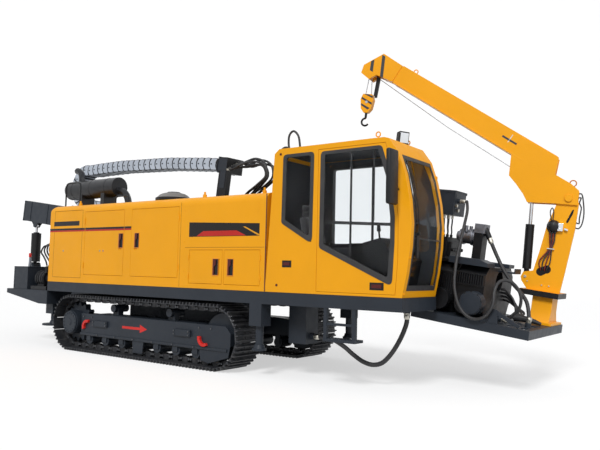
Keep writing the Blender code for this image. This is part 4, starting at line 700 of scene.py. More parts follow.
def undercarriage_dress(side, name):
    face = side * 1.145
    hook_out, plate_out, cover_out = face + side * 0.048, face + side * 0.0055, face + side * 0.0405
    rear, front, bottom, top = -1.47, 1.955, 0.27, 0.637
    skirt = [(rear, bottom), (-0.13, bottom), (-0.11, 0.09), (0.11, 0.09), (0.13, bottom), (1.36, bottom),
             (1.38, 0.12), (1.54, 0.09), (1.92, 0.20), (front, bottom + 0.10), (front, top - 0.10),
             (front - 0.10, top), (rear, top)]
    bm = bmesh.new()
    add_prism(bm, skirt, *sorted((face - side * 0.012, face + side * 0.005)))
    for x0, x1, z0, z1, thick in ((rear, 1.90, 0.28, 0.318, 0.022), (-1.13, -0.75, 0.44, 0.535, 0.040),
                                  (0.82, 1.18, 0.44, 0.535, 0.040)):
        add_prism(bm, strip(x0, x1, z0, z1), *sorted((face, face + side * thick)))
    softened(piece("frame_skirt_" + name, bm, slate_enamel, "chassis"), 0.003)
    bm = bmesh.new()
    for centre, start, end in (((-1.28, 0.42), 66, 204), ((1.46, 0.44), 166, 304)):
        outer = arc_points(centre, 0.118, start, end, 12)
        inner = arc_points(centre, 0.072, start, end, 12)
        add_prism(bm, outer + inner[::-1], *sorted((face, hook_out)))
    softened(piece("tow_hooks_" + name, bm, red_enamel, "chassis"), 0.006, 3)
    bm = bmesh.new()
    arrow = [(-0.39, 0.455), (0.04, 0.455), (0.04, 0.41), (0.21, 0.475), (0.04, 0.54), (0.04, 0.495),
             (-0.39, 0.495)]
    add_prism(bm, arrow, *sorted((face, plate_out)))
    piece("travel_arrow_" + name, bm, red_enamel, "chassis")
    out, along = Vector((0, side, 0)), Vector((1, 0, 0))
    bolts = []
    for x in (-1.10, -0.78, 0.85, 1.15):
        for z in (0.463, 0.512):
            bolts.append((machine + Vector((x, cover_out, z)), out, along))
    for x in (-1.40, -1.18, 1.34, 1.58):
        bolts.append((machine + Vector((x, plate_out, 0.585)), out, along))
    for x in (-1.0, -0.55, -0.1, 0.35, 0.8, 1.25):
        bolts.append((machine + Vector((x, face + side * 0.0225, 0.30)), out, along))
    repeated("frame_bolts_" + name, bolt_tree, bolts, 0.026, 0.012, pin_steel, "chassis")
    hub_y = side * 1.20
    bm = bmesh.new()
    add_round(bm, (-axle_x, hub_y - side * 0.03, axle_z), (-axle_x, hub_y + side * 0.028, axle_z), 0.185, 48)
    add_round(bm, (-axle_x, hub_y + side * 0.02, axle_z), (-axle_x, hub_y + side * 0.036, axle_z), 0.060, 28)
    softened(piece("drive_hub_cover_" + name, bm, slate_enamel, "chassis"), 0.008, 3)
    ring = []
    for i in range(16):
        turn = 2 * math.pi * i / 16
        spot = Vector((-axle_x + 0.155 * math.cos(turn), hub_y + side * 0.028,
                       axle_z + 0.155 * math.sin(turn)))
        ring.append((machine + spot, out, along))
    repeated("drive_hub_bolts_" + name, bolt_tree, ring, 0.022, 0.010, slate_enamel, "chassis")


undercarriage_dress(-1, "R")
undercarriage_dress(1, "L")


# Hood dress
# Vinyl stripes in black and red lie flat on the yellow side panels under a plain black bar, and a
# black vinyl field with a red wedge and a yellow line is stuck on beside the cab.
vinyl_black = enamel("vinyl_black", (0.010, 0.009, 0.009), 0.30, 0.0, 0.0001, 0.8)
vinyl_red = enamel("vinyl_red", (0.52, 0.022, 0.016), 0.30, 0.0, 0.0001, 0.9)
vinyl_yellow = enamel("vinyl_yellow", (0.80, 0.36, 0.02), 0.30, 0.0, 0.0001, 0.9)
hood_face = -1.25


def flat_field(name, outline, surface, body, lift=0.0010):
    bm = bmesh.new()
    add_prism(bm, outline, hood_face - lift, hood_face)
    return piece(name, bm, surface, body)


# The stripe is cut at the edges of the doors that swing out
for name, body, x0, x1 in (("rear", "chassis", -2.368, -1.350), ("door_1", "hood_door_1", -1.338, -0.322),
                           ("middle", "chassis", -0.310, -0.140)):
    flat_field("stripe_black_" + name, strip(x0, x1, 2.058, 2.092), vinyl_black, body)
    flat_field("stripe_red_" + name, strip(x0, x1, 2.032, 2.057), vinyl_red, body)
flat_field("bare_label_field", strip(-2.25, -1.51, 2.135, 2.215), vinyl_black, "chassis")
flat_field("decal_field", [(1.17, 1.905), (2.515, 1.905), (2.515, 2.075), (1.17, 2.12)], vinyl_black,
           "chassis")
flat_field("decal_wedge", [(1.32, 1.912), (2.28, 1.912), (2.10, 1.985), (1.46, 1.985)], vinyl_red,
           "chassis", 0.0018)
flat_field("decal_line", [(2.22, 2.035), (2.49, 1.912), (2.513, 1.912), (2.513, 1.926), (2.26, 2.035)],
           vinyl_yellow, "chassis", 0.0018)


# Door latches
# Each engine door has a recessed cup with a sprung pull bar: a pale orange rim, a black cup and a
# dark red bar, riveted through the skin beside the door's free edge.
latch_rim = enamel("latch_rim_paint", (0.86, 0.30, 0.030), 0.40, 0.1)
latch_bar = enamel("latch_bar_paint", (0.085, 0.006, 0.005), 0.35, 0.2)


def door_latch(name, body, x, z):
    half_x, half_z = 0.062, 0.125
    cup = strip(x - half_x + 0.016, x + half_x - 0.004, z - half_z + 0.012, z + half_z - 0.012)
    outer = strip(x - half_x, x + half_x, z - half_z, z + half_z)
    bm = bmesh.new()
    add_frame(bm, outer, cup, hood_face - 0.006, hood_face)
    softened(piece(name + "_rim", bm, latch_rim, body), 0.003)
    bm = bmesh.new()
    add_prism(bm, cup, hood_face - 0.0015, hood_face)
    piece(name + "_cup", bm, vinyl_black, body)
    bm = bmesh.new()
    bar = [(x - 0.035, z - 0.108), (x - 0.008, z - 0.108), (x - 0.014, z), (x + 0.018, z + 0.03),
           (x + 0.018, z + 0.108), (x - 0.035, z + 0.108)]
    add_prism(bm, bar, hood_face - 0.014, hood_face - 0.001)
    softened(piece(name + "_bar", bm, latch_bar, body), 0.004)


for name, x, z in (("1", -0.39, 1.865), ("2", 0.0, 1.865), ("3", 1.715, 1.47), ("4", 2.00, 1.47)):
    door_latch("latch_" + name, "hood_door_" + name, x, z)


# Hood fastenings
# Pan-head screws hold the rear panel, hinge knuckles stand on the doors' far edges, and small round
# locks sit flush in the panels; a rubber seal fills the joint between hood and cab.
zinc = bare_steel("zinc_screw", (0.50, 0.42, 0.28), 0.42)
outward, forwards = Vector((0, -1, 0)), Vector((1, 0, 0))
screws = [(machine + Vector((x, hood_face, z)), outward, forwards) for x, z in (
    (-2.17, 2.395), (-1.87, 2.39), (-1.60, 2.385), (-2.25, 1.93), (-2.25, 1.62), (-1.39, 1.93),
    (-1.39, 1.62), (-2.25, 1.30), (-1.39, 1.30), (-1.59, 2.27), (1.08, 2.30), (1.08, 1.83),
    (1.08, 1.40), (1.86, 1.83), (2.56, 1.83),
)]
repeated("panel_screws", pin_tree, screws, 0.016, 0.004, yellow_enamel, "chassis")
bm = bmesh.new()
for x in (-0.92, -0.83):
    add_round(bm, (x, hood_face, 1.70), (x, hood_face - 0.004, 1.70), 0.016, 20)
piece("door_locks", bm, zinc, "hood_door_1")
bm = bmesh.new()
add_round(bm, (-0.83, hood_face - 0.003, 1.70), (-0.83, hood_face - 0.006, 1.70), 0.009, 14)
piece("door_lock_mark", bm, red_enamel, "hood_door_1")
bm = bmesh.new()
add_round(bm, (-1.94, hood_face, 1.70), (-1.94, hood_face - 0.004, 1.70), 0.016, 20)
piece("panel_lock", bm, zinc, "chassis")


def hinge_knuckles(name, body, x, heights, tall):
    bm = bmesh.new()
    for z in heights:
        add_round(bm, (x, hood_face - 0.006, z - tall / 2), (x, hood_face - 0.006, z + tall / 2), 0.008, 14)
    piece(name, bm, yellow_enamel, body)


hinge_knuckles("hinges_1", "chassis", -1.352, (1.45, 2.20), 0.09)
hinge_knuckles("hinges_2", "chassis", 0.952, (1.45, 2.20), 0.09)
hinge_knuckles("hinges_3", "chassis", 1.178, (1.33, 1.61), 0.07)
hinge_knuckles("hinges_4", "chassis", 2.542, (1.33, 1.61), 0.07)
seal_rubber = rubber("joint_seal_rubber", (0.10, 0.018, 0.012), 0.6)
bm = bmesh.new()
add_prism(bm, strip(2.622, 2.636, 1.160, 2.470), hood_face - 0.004, hood_face)
piece("hood_cab_seal", bm, seal_rubber, "chassis")
bm = bmesh.new()
add_prism(bm, strip(2.462, 2.518, 2.202, 2.368), hood_face + 0.006, hood_face + 0.016)
piece("slot_mesh", bm, vinyl_black, "chassis")
bm = bmesh.new()
for step in range(7):
    z = 2.215 + step * 0.023
    slat = [(2.461, z), (2.519, z), (2.519, z + 0.007), (2.461, z + 0.007)]
    add_prism(bm, slat, hood_face - 0.001, hood_face + 0.010)
piece("slot_louvres", bm, yellow_enamel, "chassis")


# Silencer dress
# Rolled steel silencer in heat-proof black, held by three clamped bands; the dome beside it is a
# pressed cover with a pale, lightly dished top.
silencer_black = enamel("silencer_black", (0.018, 0.019, 0.022), 0.34, 0.15, 0.0004, 0.7)
eased("muffler", silencer_black, 0.002)
dome_low, dome_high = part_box("vent_dome")
cap_grey = enamel("dome_cap_paint", (0.20, 0.19, 0.18), 0.42, 0.1)
dome_middle = (dome_low + dome_high) / 2 - machine
bm = bmesh.new()
add_pipe(bm, [machine + Vector((dome_middle.x, dome_middle.y, z))
              for z in (2.5925, 2.612, 2.640, 2.664, 2.685, 2.692)],
         [0.292, 0.262, 0.235, 0.19, 0.11, 0.03], 40)
piece("vent_dome_cap", bm, cap_grey, "chassis", 60.0)
silencer_y, silencer_z, band_radius, band_edge = -0.60, 2.865, 0.1785, 0.170
bm = bmesh.new()
for x in (-2.52, -1.99, -1.55):
    places = [machine + Vector((x + step, silencer_y, silencer_z))
              for step in (-0.018, -0.014, 0.014, 0.018)]
    add_pipe(bm, places, [band_edge, band_radius, band_radius, band_edge], 40)
piece("silencer_bands", bm, silencer_black, "chassis", 40.0)


# Hood seams and top fittings
# Folded steel panels meet in narrow joints, drawn as thin strips of painted shadow: the bolted
# rear panel and the front panels over the small doors. Lifting studs stand on the roof, and a
# slatted radiator grille fills the rear.
# Darkened yellow paint that stands in for the shadow in the seams.
joint_shadow = enamel("joint_shadow", (0.20, 0.070, 0.006), 0.6, 0.0, 0.0001, 0.8)
seam_half, seam_lift = 0.0025, 0.0006
bm = bmesh.new()
for x0, x1, z0, z1 in ((-2.23, -2.23, 1.24, 2.40), (-1.42, -1.42, 1.24, 2.40), (-2.23, -1.42, 2.40, 2.40),
                       (-2.23, -1.42, 1.24, 1.24), (0.99, 0.99, 1.17, 2.42), (1.10, 2.60, 1.75, 1.75)):
    outline = strip(x0 - seam_half, x1 + seam_half, z0 - seam_half, z1 + seam_half)
    add_prism(bm, outline, hood_face - seam_lift, hood_face)
piece("hood_joints", bm, joint_shadow, "chassis")
stud_y = -1.13
bm = bmesh.new()
for x in (-1.67, 1.35, 2.49):
    add_round(bm, (x, stud_y, 2.495), (x, stud_y, 2.535), 0.030, 20)
    add_round(bm, (x, stud_y, 2.530), (x, stud_y, 2.575), 0.016, 16)
softened(piece("lifting_studs", bm, yellow_enamel, "chassis"), 0.004)
bm = bmesh.new()
grille_x, grille_y, grille_half, grille_low, grille_high = -2.372, -0.79, 0.36, 1.32, 2.34
for step in range(26):
    z = grille_low + (grille_high - grille_low) * (step + 0.5) / 26
    slat = [(grille_x, z - 0.011), (grille_x - 0.016, z - 0.014), (grille_x - 0.018, z - 0.010),
            (grille_x, z + 0.006)]
    add_prism(bm, slat, grille_y - grille_half, grille_y + grille_half)
piece("rear_grille_slats", bm, black_enamel, "chassis")
bm = bmesh.new()
turned = on_machine @ Matrix.Translation((0, grille_y, 0)) @ Matrix.Rotation(math.radians(90), 4, "Z")
outer = strip(-grille_half - 0.035, grille_half + 0.035, grille_low - 0.035, grille_high + 0.035)
inner = strip(-grille_half, grille_half, grille_low, grille_high)
add_frame(bm, outer, inner, -grille_x - 0.004, -grille_x + 0.022, turned)
softened(piece("rear_grille_frame", bm, black_enamel, "chassis"), 0.004)


# Cab glass and gaskets
# Lightly tinted safety glass in black rubber gaskets, with the sliding window's bars and a grey
# waist rail inside the door, all pressed into the steel openings.
def clear_glass(name, tint):
    made, tree, shader = blank_surface(name, tint, 0.02)
    shader.inputs["Transmission Weight"].default_value = 1.0
    shader.inputs["IOR"].default_value = 1.12
    shader.inputs["Specular IOR Level"].default_value = 0.6
    tree.links.new(ranged(tree, pattern(tree, 3.0, 3.0), 0.01, 0.05), shader.inputs["Roughness"])
    return made


side_glass = clear_glass("tinted_side_glass", (0.90, 0.92, 0.93))
front_glass = clear_glass("tinted_front_glass", (0.86, 0.90, 0.92))
for name, surface in (("rear_side_glass", side_glass), ("far_side_glass", side_glass),
                      ("door_glass", side_glass),
                      ("windscreen", front_glass)):
    nodes[name].data.materials.clear()
    nodes[name].data.materials.append(surface)
gasket_rubber = rubber("gasket_rubber", (0.018, 0.018, 0.020), 0.55)


def rounded(outline, radius, steps=5):
    """An outline with each corner rounded."""
    made = []
    count = len(outline)
    for i, corner in enumerate(outline):
        corner = Vector(corner)
        back = (Vector(outline[i - 1]) - corner).normalized()
        on = (Vector(outline[(i + 1) % count]) - corner).normalized()
        half = back.angle(on) / 2
        reach = min(radius / math.tan(half), radius * 3)
        a, b = corner + back * reach, corner + on * reach
        for step in range(steps + 1):
            t = step / steps
            made.append(tuple(a * (1 - t) ** 2 + corner * 2 * t * (1 - t) + b * t * t))
    return made


def gasket(name, outer, inner, radius, body, near=-0.006, far=0.006):
    bm = bmesh.new()
    add_frame(bm, rounded(outer, radius + 0.03), rounded(inner, radius), hood_face + near, hood_face + far)
    softened(piece(name, bm, gasket_rubber, body), 0.003)


gasket("rear_window_gasket", [(2.895, 2.975), (3.395, 2.975), (3.385, 1.785), (2.885, 2.065)],
       [(2.95, 2.93), (3.34, 2.93), (3.335, 1.885), (2.945, 2.105)], 0.03, "chassis", -0.006, 0.030)
gasket("door_window_gasket",
       [(3.495, 2.965), (4.375, 2.965), (4.495, 2.605), (4.560, 2.10), (4.560, 1.80), (4.532, 1.283),
        (3.495, 1.735)],
       [(3.560, 2.92), (4.325, 2.92), (4.438, 2.585), (4.500, 2.09), (4.500, 1.81), (4.470, 1.385),
        (3.560, 1.783)],
       0.03, "cab_door", -0.005, 0.014)
bm = bmesh.new()
for x, low, high, wide in ((3.94, 1.63, 2.925, 0.012), (4.26, 2.06, 2.92, 0.010)):
    add_prism(bm, strip(x - wide, x + wide, low, high), -1.2300, -1.2180)
add_prism(bm, [(3.52, 2.045), (4.50, 1.995), (4.50, 2.030), (3.52, 2.085)], -1.2190, -1.2040)
piece("door_window_bars", bm, gasket_rubber, "cab_door")
bm = bmesh.new()
add_frame(bm, rounded([(3.07, 1.77), (4.43, 1.77), (4.43, 2.51), (4.32, 2.93), (3.07, 2.93)], 0.05),
          rounded([(3.13, 1.83), (4.37, 1.83), (4.37, 2.49), (4.28, 2.87), (3.13, 2.87)], 0.03), -0.405,
          -0.326)
add_prism(bm, strip(3.74, 3.765, 1.80, 2.90), -0.372, -0.340)
softened(piece("far_window_gasket", bm, gasket_rubber, "chassis"), 0.003)
screen_line = [(4.656, 1.155), (4.716, 1.45), (4.756, 1.75), (4.771, 2.02), (4.746, 2.30), (4.686, 2.60),
               (4.596, 2.86)]


def screen_x(z):
    """How far forward the windscreen's outer face is at a height."""
    for (x0, z0), (x1, z1) in zip(screen_line, screen_line[1:]):
        if z <= z1:
            return x0 + (x1 - x0) * (z - z0) / (z1 - z0)
    return screen_line[-1][0]


def bowed_band(bm, y0, y1, z0, z1, lift, depth):
    """A band that follows the bowed screen, between two heights."""
    heights = [z0, *[z for _, z in screen_line if z0 < z < z1], z1]
    face = [(screen_x(z) + lift, z) for z in heights]
    back = [(screen_x(z) - depth, z) for z in heights]
    add_prism(bm, face + back[::-1], y0, y1)


screen_near, screen_far = -1.178, -0.402
bm = bmesh.new()
bowed_band(bm, screen_near, screen_near + 0.032, 1.235, 2.842, 0.005, 0.016)
bowed_band(bm, screen_far - 0.032, screen_far, 1.235, 2.842, 0.005, 0.016)
bowed_band(bm, screen_near, screen_far, 1.235, 1.300, 0.0055, 0.016)
bowed_band(bm, screen_near, screen_far, 2.790, 2.842, 0.0055, 0.016)
bowed_band(bm, screen_near, screen_far, 1.842, 1.858, 0.003, 0.014)
softened(piece("windscreen_gasket", bm, gasket_rubber, "chassis"), 0.003)


# Cab linings
# Moulded dark grey linings over foam on the walls and roof, clipped to the cab's frame, with a
# matching panel inside the door.
lining = enamel("cab_lining", (0.055, 0.058, 0.064), 0.72, 0.0, 0.0012, 0.85)
bm = bmesh.new()
for panel in ([(2.70, 1.21), (4.59, 1.21), (4.65, 1.45), (4.69, 1.77), (2.70, 1.77)],
              strip(2.70, 3.07, 1.77, 2.98),
              [(3.07, 2.93), (4.32, 2.93), (4.38, 2.98), (3.07, 2.98)],
              [(4.43, 1.77), (4.69, 1.77), (4.70, 2.02), (4.675, 2.30), (4.61, 2.60), (4.50, 2.86),
               (4.34, 2.93), (4.43, 2.51)]):
    add_prism(bm, panel, -0.402, -0.392)
add_prism(bm, [(2.70, 1.21), (3.425, 1.21), (3.425, 1.755), (2.865, 2.03), (2.70, 2.03)], -1.1895, -1.178)
add_prism(bm, [(2.697, 1.21), (2.709, 1.21), (2.820, 2.93), (2.808, 2.93)], screen_near, screen_far)
add_box(bm, (2.82, screen_near, 2.984), (4.38, screen_far, 2.996))
piece("cab_linings", bm, lining, "chassis")
bm = bmesh.new()
add_prism(bm, [(3.52, 1.245), (4.50, 1.245), (4.475, 1.335), (3.52, 1.745)], -1.2195, -1.190)
softened(piece("door_lining", bm, lining, "cab_door"), 0.006)


# Floor mat
# A ribbed rubber mat lies on the cab floor between the linings; its ribs run across the cab.
bm = bmesh.new()
for step in range(46):
    x = 2.72 + step * 0.041
    add_box(bm, (x, -1.17, 1.2055), (x + 0.024, -0.41, 1.2120))
piece("floor_mat", bm, gasket_rubber, "chassis")


# Cab controls
# Two hand controls on thin steel stalks stand on the console, and a small screen in a black
# plastic case is clamped to a third stalk beside them.
bm = bmesh.new()
for y in (-0.98, -0.60):
    add_round(bm, (4.22, y, 1.80), (4.20, y, 1.96), 0.012, 12)
    add_round(bm, (4.20, y, 1.95), (4.195, y, 2.03), 0.026, 16, on_machine, 0.020)
add_round(bm, (4.40, -0.55, 1.72), (4.44, -0.55, 1.98), 0.012, 12)
screen_carrier = (on_machine @ Matrix.Translation((4.44, -0.55, 2.03))
                  @ Matrix.Rotation(math.radians(12), 4, "Y"))
add_box(bm, (-0.02, -0.12, -0.08), (0.02, 0.12, 0.08), screen_carrier)
softened(piece("cab_controls", bm, black_enamel, "chassis"), 0.004)


# Seat
# Foam pads under dark woven cloth with pinched seams, carried by a black steel pedestal with two
# arm rests that is bolted through the floor.
def seat_cloth():
    made, tree, shader = blank_surface("seat_cloth", (0.016, 0.016, 0.018), 0.85)
    shader.inputs["Sheen Weight"].default_value = 0.35
    shader.inputs["Sheen Roughness"].default_value = 0.5
    weave = ranged(tree, pattern(tree, 260.0, 2.0), 0.0, 1.0)
    tree.links.new(mixed(tree, weave, (0.014, 0.014, 0.016), (0.040, 0.041, 0.045)),
                   shader.inputs["Base Color"])
    raised(tree, shader, pattern(tree, 320.0, 2.0), 0.0012, 0.7)
    return made


cloth = seat_cloth()
seat_x, seat_y, cab_floor = 3.45, -0.86, 1.2056


def pad(name, size, carrier, swell):
    """A stuffed pad: a rounded block swollen by cloth pressure, with a pinched seam round its rim."""
    half = [s / 2 for s in size]
    bm = bmesh.new()
    bmesh.ops.create_cube(bm, size=1.0)
    for vert in bm.verts:
        vert.co = Vector((vert.co.x * size[0], vert.co.y * size[1], vert.co.z * size[2]))
    bmesh.ops.bevel(bm, geom=list(bm.edges), offset=min(half) * 0.55, segments=3, affect="EDGES",
                    profile=0.5)
    made = piece(name, bm, cloth, "chassis", 180.0)
    remesh = made.modifiers.new("remesh", "REMESH")
    remesh.mode = "VOXEL"
    remesh.voxel_size = 0.007
    applied(made)
    rest = [vert.co.copy() for vert in made.data.vertices]
    soft = made.modifiers.new("swell", "CLOTH")
    soft.settings.use_pressure = True
    soft.settings.uniform_pressure_force = 4.0
    soft.settings.quality = 4
    soft.settings.effector_weights.gravity = 0.0
    for frame_number in range(1, 21):
        scene.frame_set(frame_number)
    applied(made)
    scene.frame_set(1)
    for vert, start in zip(made.data.vertices, rest):
        moved = vert.co - start
        if moved.length > swell:
            vert.co = start + moved.normalized() * swell
    smoother = made.modifiers.new("smoother", "SUBSURF")
    smoother.levels = smoother.render_levels = 1
    applied(made)
    for vert in made.data.vertices:
        groove = math.exp(-((vert.co.z / 0.006) ** 2))
        vert.co.x *= 1 - groove * 0.010 / half[0]
        vert.co.y *= 1 - groove * 0.010 / half[1]
        for line in (-half[1] * 0.36, half[1] * 0.36):
            dip = math.exp(-(((vert.co.y - line) / 0.007) ** 2)) * 0.006
            vert.co.z -= math.copysign(dip, vert.co.z) if abs(vert.co.z) > 0.5 * half[2] else 0.0
    made.data.transform(carrier)
    made.data.shade_smooth()
    return made


def applied(made):
    """Turns a piece's modifiers into its mesh."""
    grown = bpy.data.meshes.new_from_object(made.evaluated_get(bpy.context.evaluated_depsgraph_get()))
    grown.name = made.name
    made.modifiers.clear()
    made.data = grown


seat_frame = Matrix.Translation(machine + Vector((seat_x, seat_y, cab_floor)))
leaned = Matrix.Rotation(math.radians(-12), 4, "Y")
cushion = pad("seat_cushion", (0.49, 0.46, 0.105), seat_frame @ Matrix.Translation((0.01, 0, 0.335)), 0.010)
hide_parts("seat")
pad("seat_back", (0.095, 0.44, 0.59),
    seat_frame @ Matrix.Translation((-0.24, 0, 0.36)) @ leaned @ Matrix.Translation((0, 0, 0.315)), 0.010)
pad("seat_headrest", (0.095, 0.23, 0.18), seat_frame @ Matrix.Translation((-0.40, 0, 1.035)), 0.008)
bm = bmesh.new()
add_box(bm, (seat_x - 0.19, seat_y - 0.19, cab_floor), (seat_x + 0.19, seat_y + 0.19, cab_floor + 0.24))
add_box(bm, (seat_x - 0.22, seat_y - 0.22, cab_floor + 0.24),
        (seat_x + 0.22, seat_y + 0.22, cab_floor + 0.285))
for side in (-1, 1):
    y = seat_y + side * 0.06
    add_round(bm, (seat_x - 0.385, y, cab_floor + 0.90), (seat_x - 0.40, y, cab_floor + 0.98), 0.008, 10)
    arm = seat_y + side * 0.243
    add_box(bm, (seat_x - 0.20, arm - 0.022, cab_floor + 0.56),
            (seat_x + 0.12, arm + 0.022, cab_floor + 0.60))
    add_box(bm, (seat_x - 0.23, arm - 0.010, cab_floor + 0.44),
            (seat_x - 0.17, arm + 0.010, cab_floor + 0.58))
softened(piece("seat_pedestal", bm, black_enamel, "chassis"), 0.008, 3)


# Cab handles and stops
# Black plastic cups with dark red bars are riveted into the door and the side wall, and round
# rubber stops are screwed on where the door swings back.
def side_cup(name, body, outline, bar):
    bm = bmesh.new()
    add_prism(bm, outline, hood_face - 0.004, hood_face)
    softened(piece(name, bm, vinyl_black, body), 0.003)
    bm = bmesh.new()
    add_prism(bm, bar, hood_face - 0.010, hood_face - 0.003)
    softened(piece(name + "_bar", bm, latch_bar, body), 0.003)


side_cup("door_handle", "cab_door", strip(4.235, 4.425, 1.235, 1.325), strip(4.262, 4.398, 1.258, 1.302))
side_cup("side_catch", "chassis", strip(2.915, 3.065, 1.485, 1.575), strip(2.94, 3.04, 1.510, 1.550))
bm = bmesh.new()
for x, z in ((2.85, 2.985), (2.83, 1.25)):
    add_round(bm, (x, hood_face, z), (x, hood_face - 0.006, z), 0.017, 18)
piece("rubber_stops", bm, latch_bar, "chassis")


# Lifting eyes
# Forged rings on short studs, welded to the roof's corners and painted with the cab, that take a
# crane's slings.
def add_ring(bm, foot, radius, carrier, steps):
    """A round steel ring that stands on a place."""
    centre = Vector(foot) + Vector((0, 0, radius - 0.006))
    turns = [2 * math.pi * i / steps for i in range(steps + 1)]
    add_pipe(bm, [carrier @ (centre + Vector((math.cos(t), 0, math.sin(t))) * radius) for t in turns],
             0.008, 10)


def eye_bolt(name, place, radius, surface):
    bm = bmesh.new()
    x, y, z = place
    add_round(bm, (x, y, z - 0.002), (x, y, z + 0.012), 0.020, 16)
    add_round(bm, (x, y, z), (x, y, z + 0.050), 0.008, 12)
    add_ring(bm, (x, y, z + 0.050), radius, on_machine, 28)
    piece(name, bm, surface, "chassis", 60.0)


eye_bolt("lifting_eye_near", (4.24, -1.10, 3.06), 0.030, yellow_enamel)
eye_bolt("lifting_eye_far", (4.33, -0.47, 3.06), 0.024, yellow_enamel)
eye_bolt("lifting_eye_rear", (2.90, -0.47, 3.06), 0.028, yellow_enamel)


# Mirror
# A yellow bracket welded to the corner post holds a black clamp and stalk; silvered glass is
# pressed into the mirror's housing.
bm = bmesh.new()
add_box(bm, (4.535, -1.282, 2.56), (4.565, -1.250, 2.81))
softened(piece("mirror_bracket", bm, yellow_enamel, "chassis"), 0.004)
bm = bmesh.new()
add_box(bm, (4.525, -1.300, 2.69), (4.585, -1.262, 2.75))
add_round(bm, (4.555, -1.30, 2.72), (4.615, -1.36, 2.66), 0.012, 12)
softened(piece("mirror_clamp", bm, black_enamel, "chassis"), 0.004)
mirror_silver = bare_steel("mirror_silver", (0.82, 0.84, 0.86), 0.05)
bm = bmesh.new()
add_box(bm, (4.5975, -1.545, 2.26), (4.6005, -1.375, 2.82))
softened(piece("mirror_glass", bm, mirror_silver, "chassis"), 0.001)


# Work lamp
# A square lamp in a black cast body with a bright lens, turned outwards on a short foot that is
# bolted to the roof.
lamp_turn = (on_machine @ Matrix.Translation((4.311, -0.62, 3.170))
             @ Matrix.Rotation(math.radians(-24), 4, "Z"))
lamp_turn = lamp_turn @ Matrix.Rotation(math.radians(10), 4, "Y")
bm = bmesh.new()
rings = []
for x, half_y, half_z in ((-0.052, 0.045, 0.045), (-0.030, 0.062, 0.064), (0.045, 0.078, 0.080),
                          (0.055, 0.078, 0.080)):
    rings.append([bm.verts.new(lamp_turn @ Vector((x, a * half_y, b * half_z)))
                  for a, b in ((-1, -1), (1, -1), (1, 1), (-1, 1))])
for low, high in zip(rings, rings[1:]):
    for k in range(4):
        bm.faces.new((low[k], low[(k + 1) % 4], high[(k + 1) % 4], high[k]))
bm.faces.new(rings[0][::-1])
bm.faces.new(rings[-1])
add_box(bm, (4.275, -0.65, 3.059), (4.335, -0.59, 3.110))
lamp_body = softened(piece("work_lamp", bm, black_enamel, "chassis"), 0.006, 3)
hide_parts("work_light")
bm = bmesh.new()
add_box(bm, (0.0545, -0.064, -0.064), (0.0580, 0.064, 0.064), lamp_turn)
softened(piece("work_lamp_lens", bm, mirror_silver, "chassis"), 0.001)


# Wiper and screen catches
# A bent steel arm with a rubber blade on a motor below the waist bar, and yellow steel catches
# that hold the windscreen's frame.
bm = bmesh.new()
wiper = [(1.93, -1.085), (2.20, -1.10), (2.45, -1.11), (2.70, -1.12)]
add_pipe(bm, [machine + Vector((screen_x(z) + 0.030, y, z)) for z, y in wiper], 0.007, 8)
blade = [(2.05 + 0.09 * i, -1.118 - 0.002 * i) for i in range(9)]
add_pipe(bm, [machine + Vector((screen_x(z) + 0.012, y, z)) for z, y in blade], 0.008, 8)
add_round(bm, (screen_x(1.90) + 0.001, -1.085, 1.90), (screen_x(1.90) + 0.040, -1.085, 1.91), 0.020, 14)
add_box(bm, (screen_x(1.75) + 0.002, -1.115, 1.62), (screen_x(1.75) + 0.026, -1.060, 1.88))
softened(piece("wiper", bm, black_enamel, "chassis"), 0.003)
bm = bmesh.new()
for z in (2.66, 1.95):
    add_box(bm, (screen_x(z) - 0.03, -0.375, z - 0.02), (screen_x(z) + 0.020, -0.345, z + 0.02))
for z in (1.20, 1.62):
    add_round(bm, (screen_x(z) - 0.005, -1.215, z), (screen_x(z) + 0.016, -1.215, z), 0.014, 14)
softened(piece("front_catches", bm, yellow_enamel, "chassis"), 0.003)


# Roof hoses
# Black rubber hoses cross in free bends from the hood over the rear edge of the cab's roof, and
# pass through the sheet in tight holes.
bm = bmesh.new()
for route, radius in (
    ([(2.640, -1.00, 2.49), (2.640, -1.00, 2.75), (2.60, -1.0, 2.93), (2.63, -1.0, 3.06), (2.72, -1.0, 3.13),
      (2.82, -1.0, 3.10), (2.90, -1.0, 3.055)], 0.016),
    ([(2.80, -0.98, 3.04), (2.77, -0.98, 3.18), (2.78, -0.98, 3.30), (2.85, -0.98, 3.35),
      (2.93, -0.98, 3.28), (2.96, -0.98, 3.16), (2.97, -0.98, 3.04)], 0.015),
    ([(3.00, -0.80, 3.055), (3.10, -0.84, 3.085), (3.22, -0.86, 3.10), (3.36, -0.84, 3.095),
      (3.50, -0.78, 3.075), (3.60, -0.70, 3.055)], 0.018),
    ([(2.86, -0.70, 3.055), (3.00, -0.76, 3.12), (3.15, -0.80, 3.14), (3.30, -0.80, 3.13),
      (3.46, -0.72, 3.055)], 0.018),
):
    add_hose(bm, route, radius, on_machine)
piece("roof_hoses", bm, hose_rubber, "chassis", 60.0)


# Rods and spindle
# Hard-chromed rods run in the lift and luffing cylinders, and bolts ring the housing of the bare
# steel spindle in front of the power head.
chrome = bare_steel("chromed_rod", (0.72, 0.73, 0.75), 0.10)
drill_steel = bare_steel("drill_steel", (0.34, 0.35, 0.37), 0.34)
motor_steel = bare_steel("motor_casting", (0.24, 0.25, 0.28), 0.42)
for name in ("lift_rod_R", "lift_rod_L", "luff_rod"):
    eased(name, chrome, 0.001)
eased("spindle", drill_steel, 0.002)
carriage_u, rail_top = -2.55, 0.53
carried = slope @ Matrix.Translation((carriage_u, 0, rail_top))
drill_y, pipe_drop = 0.51, -0.13


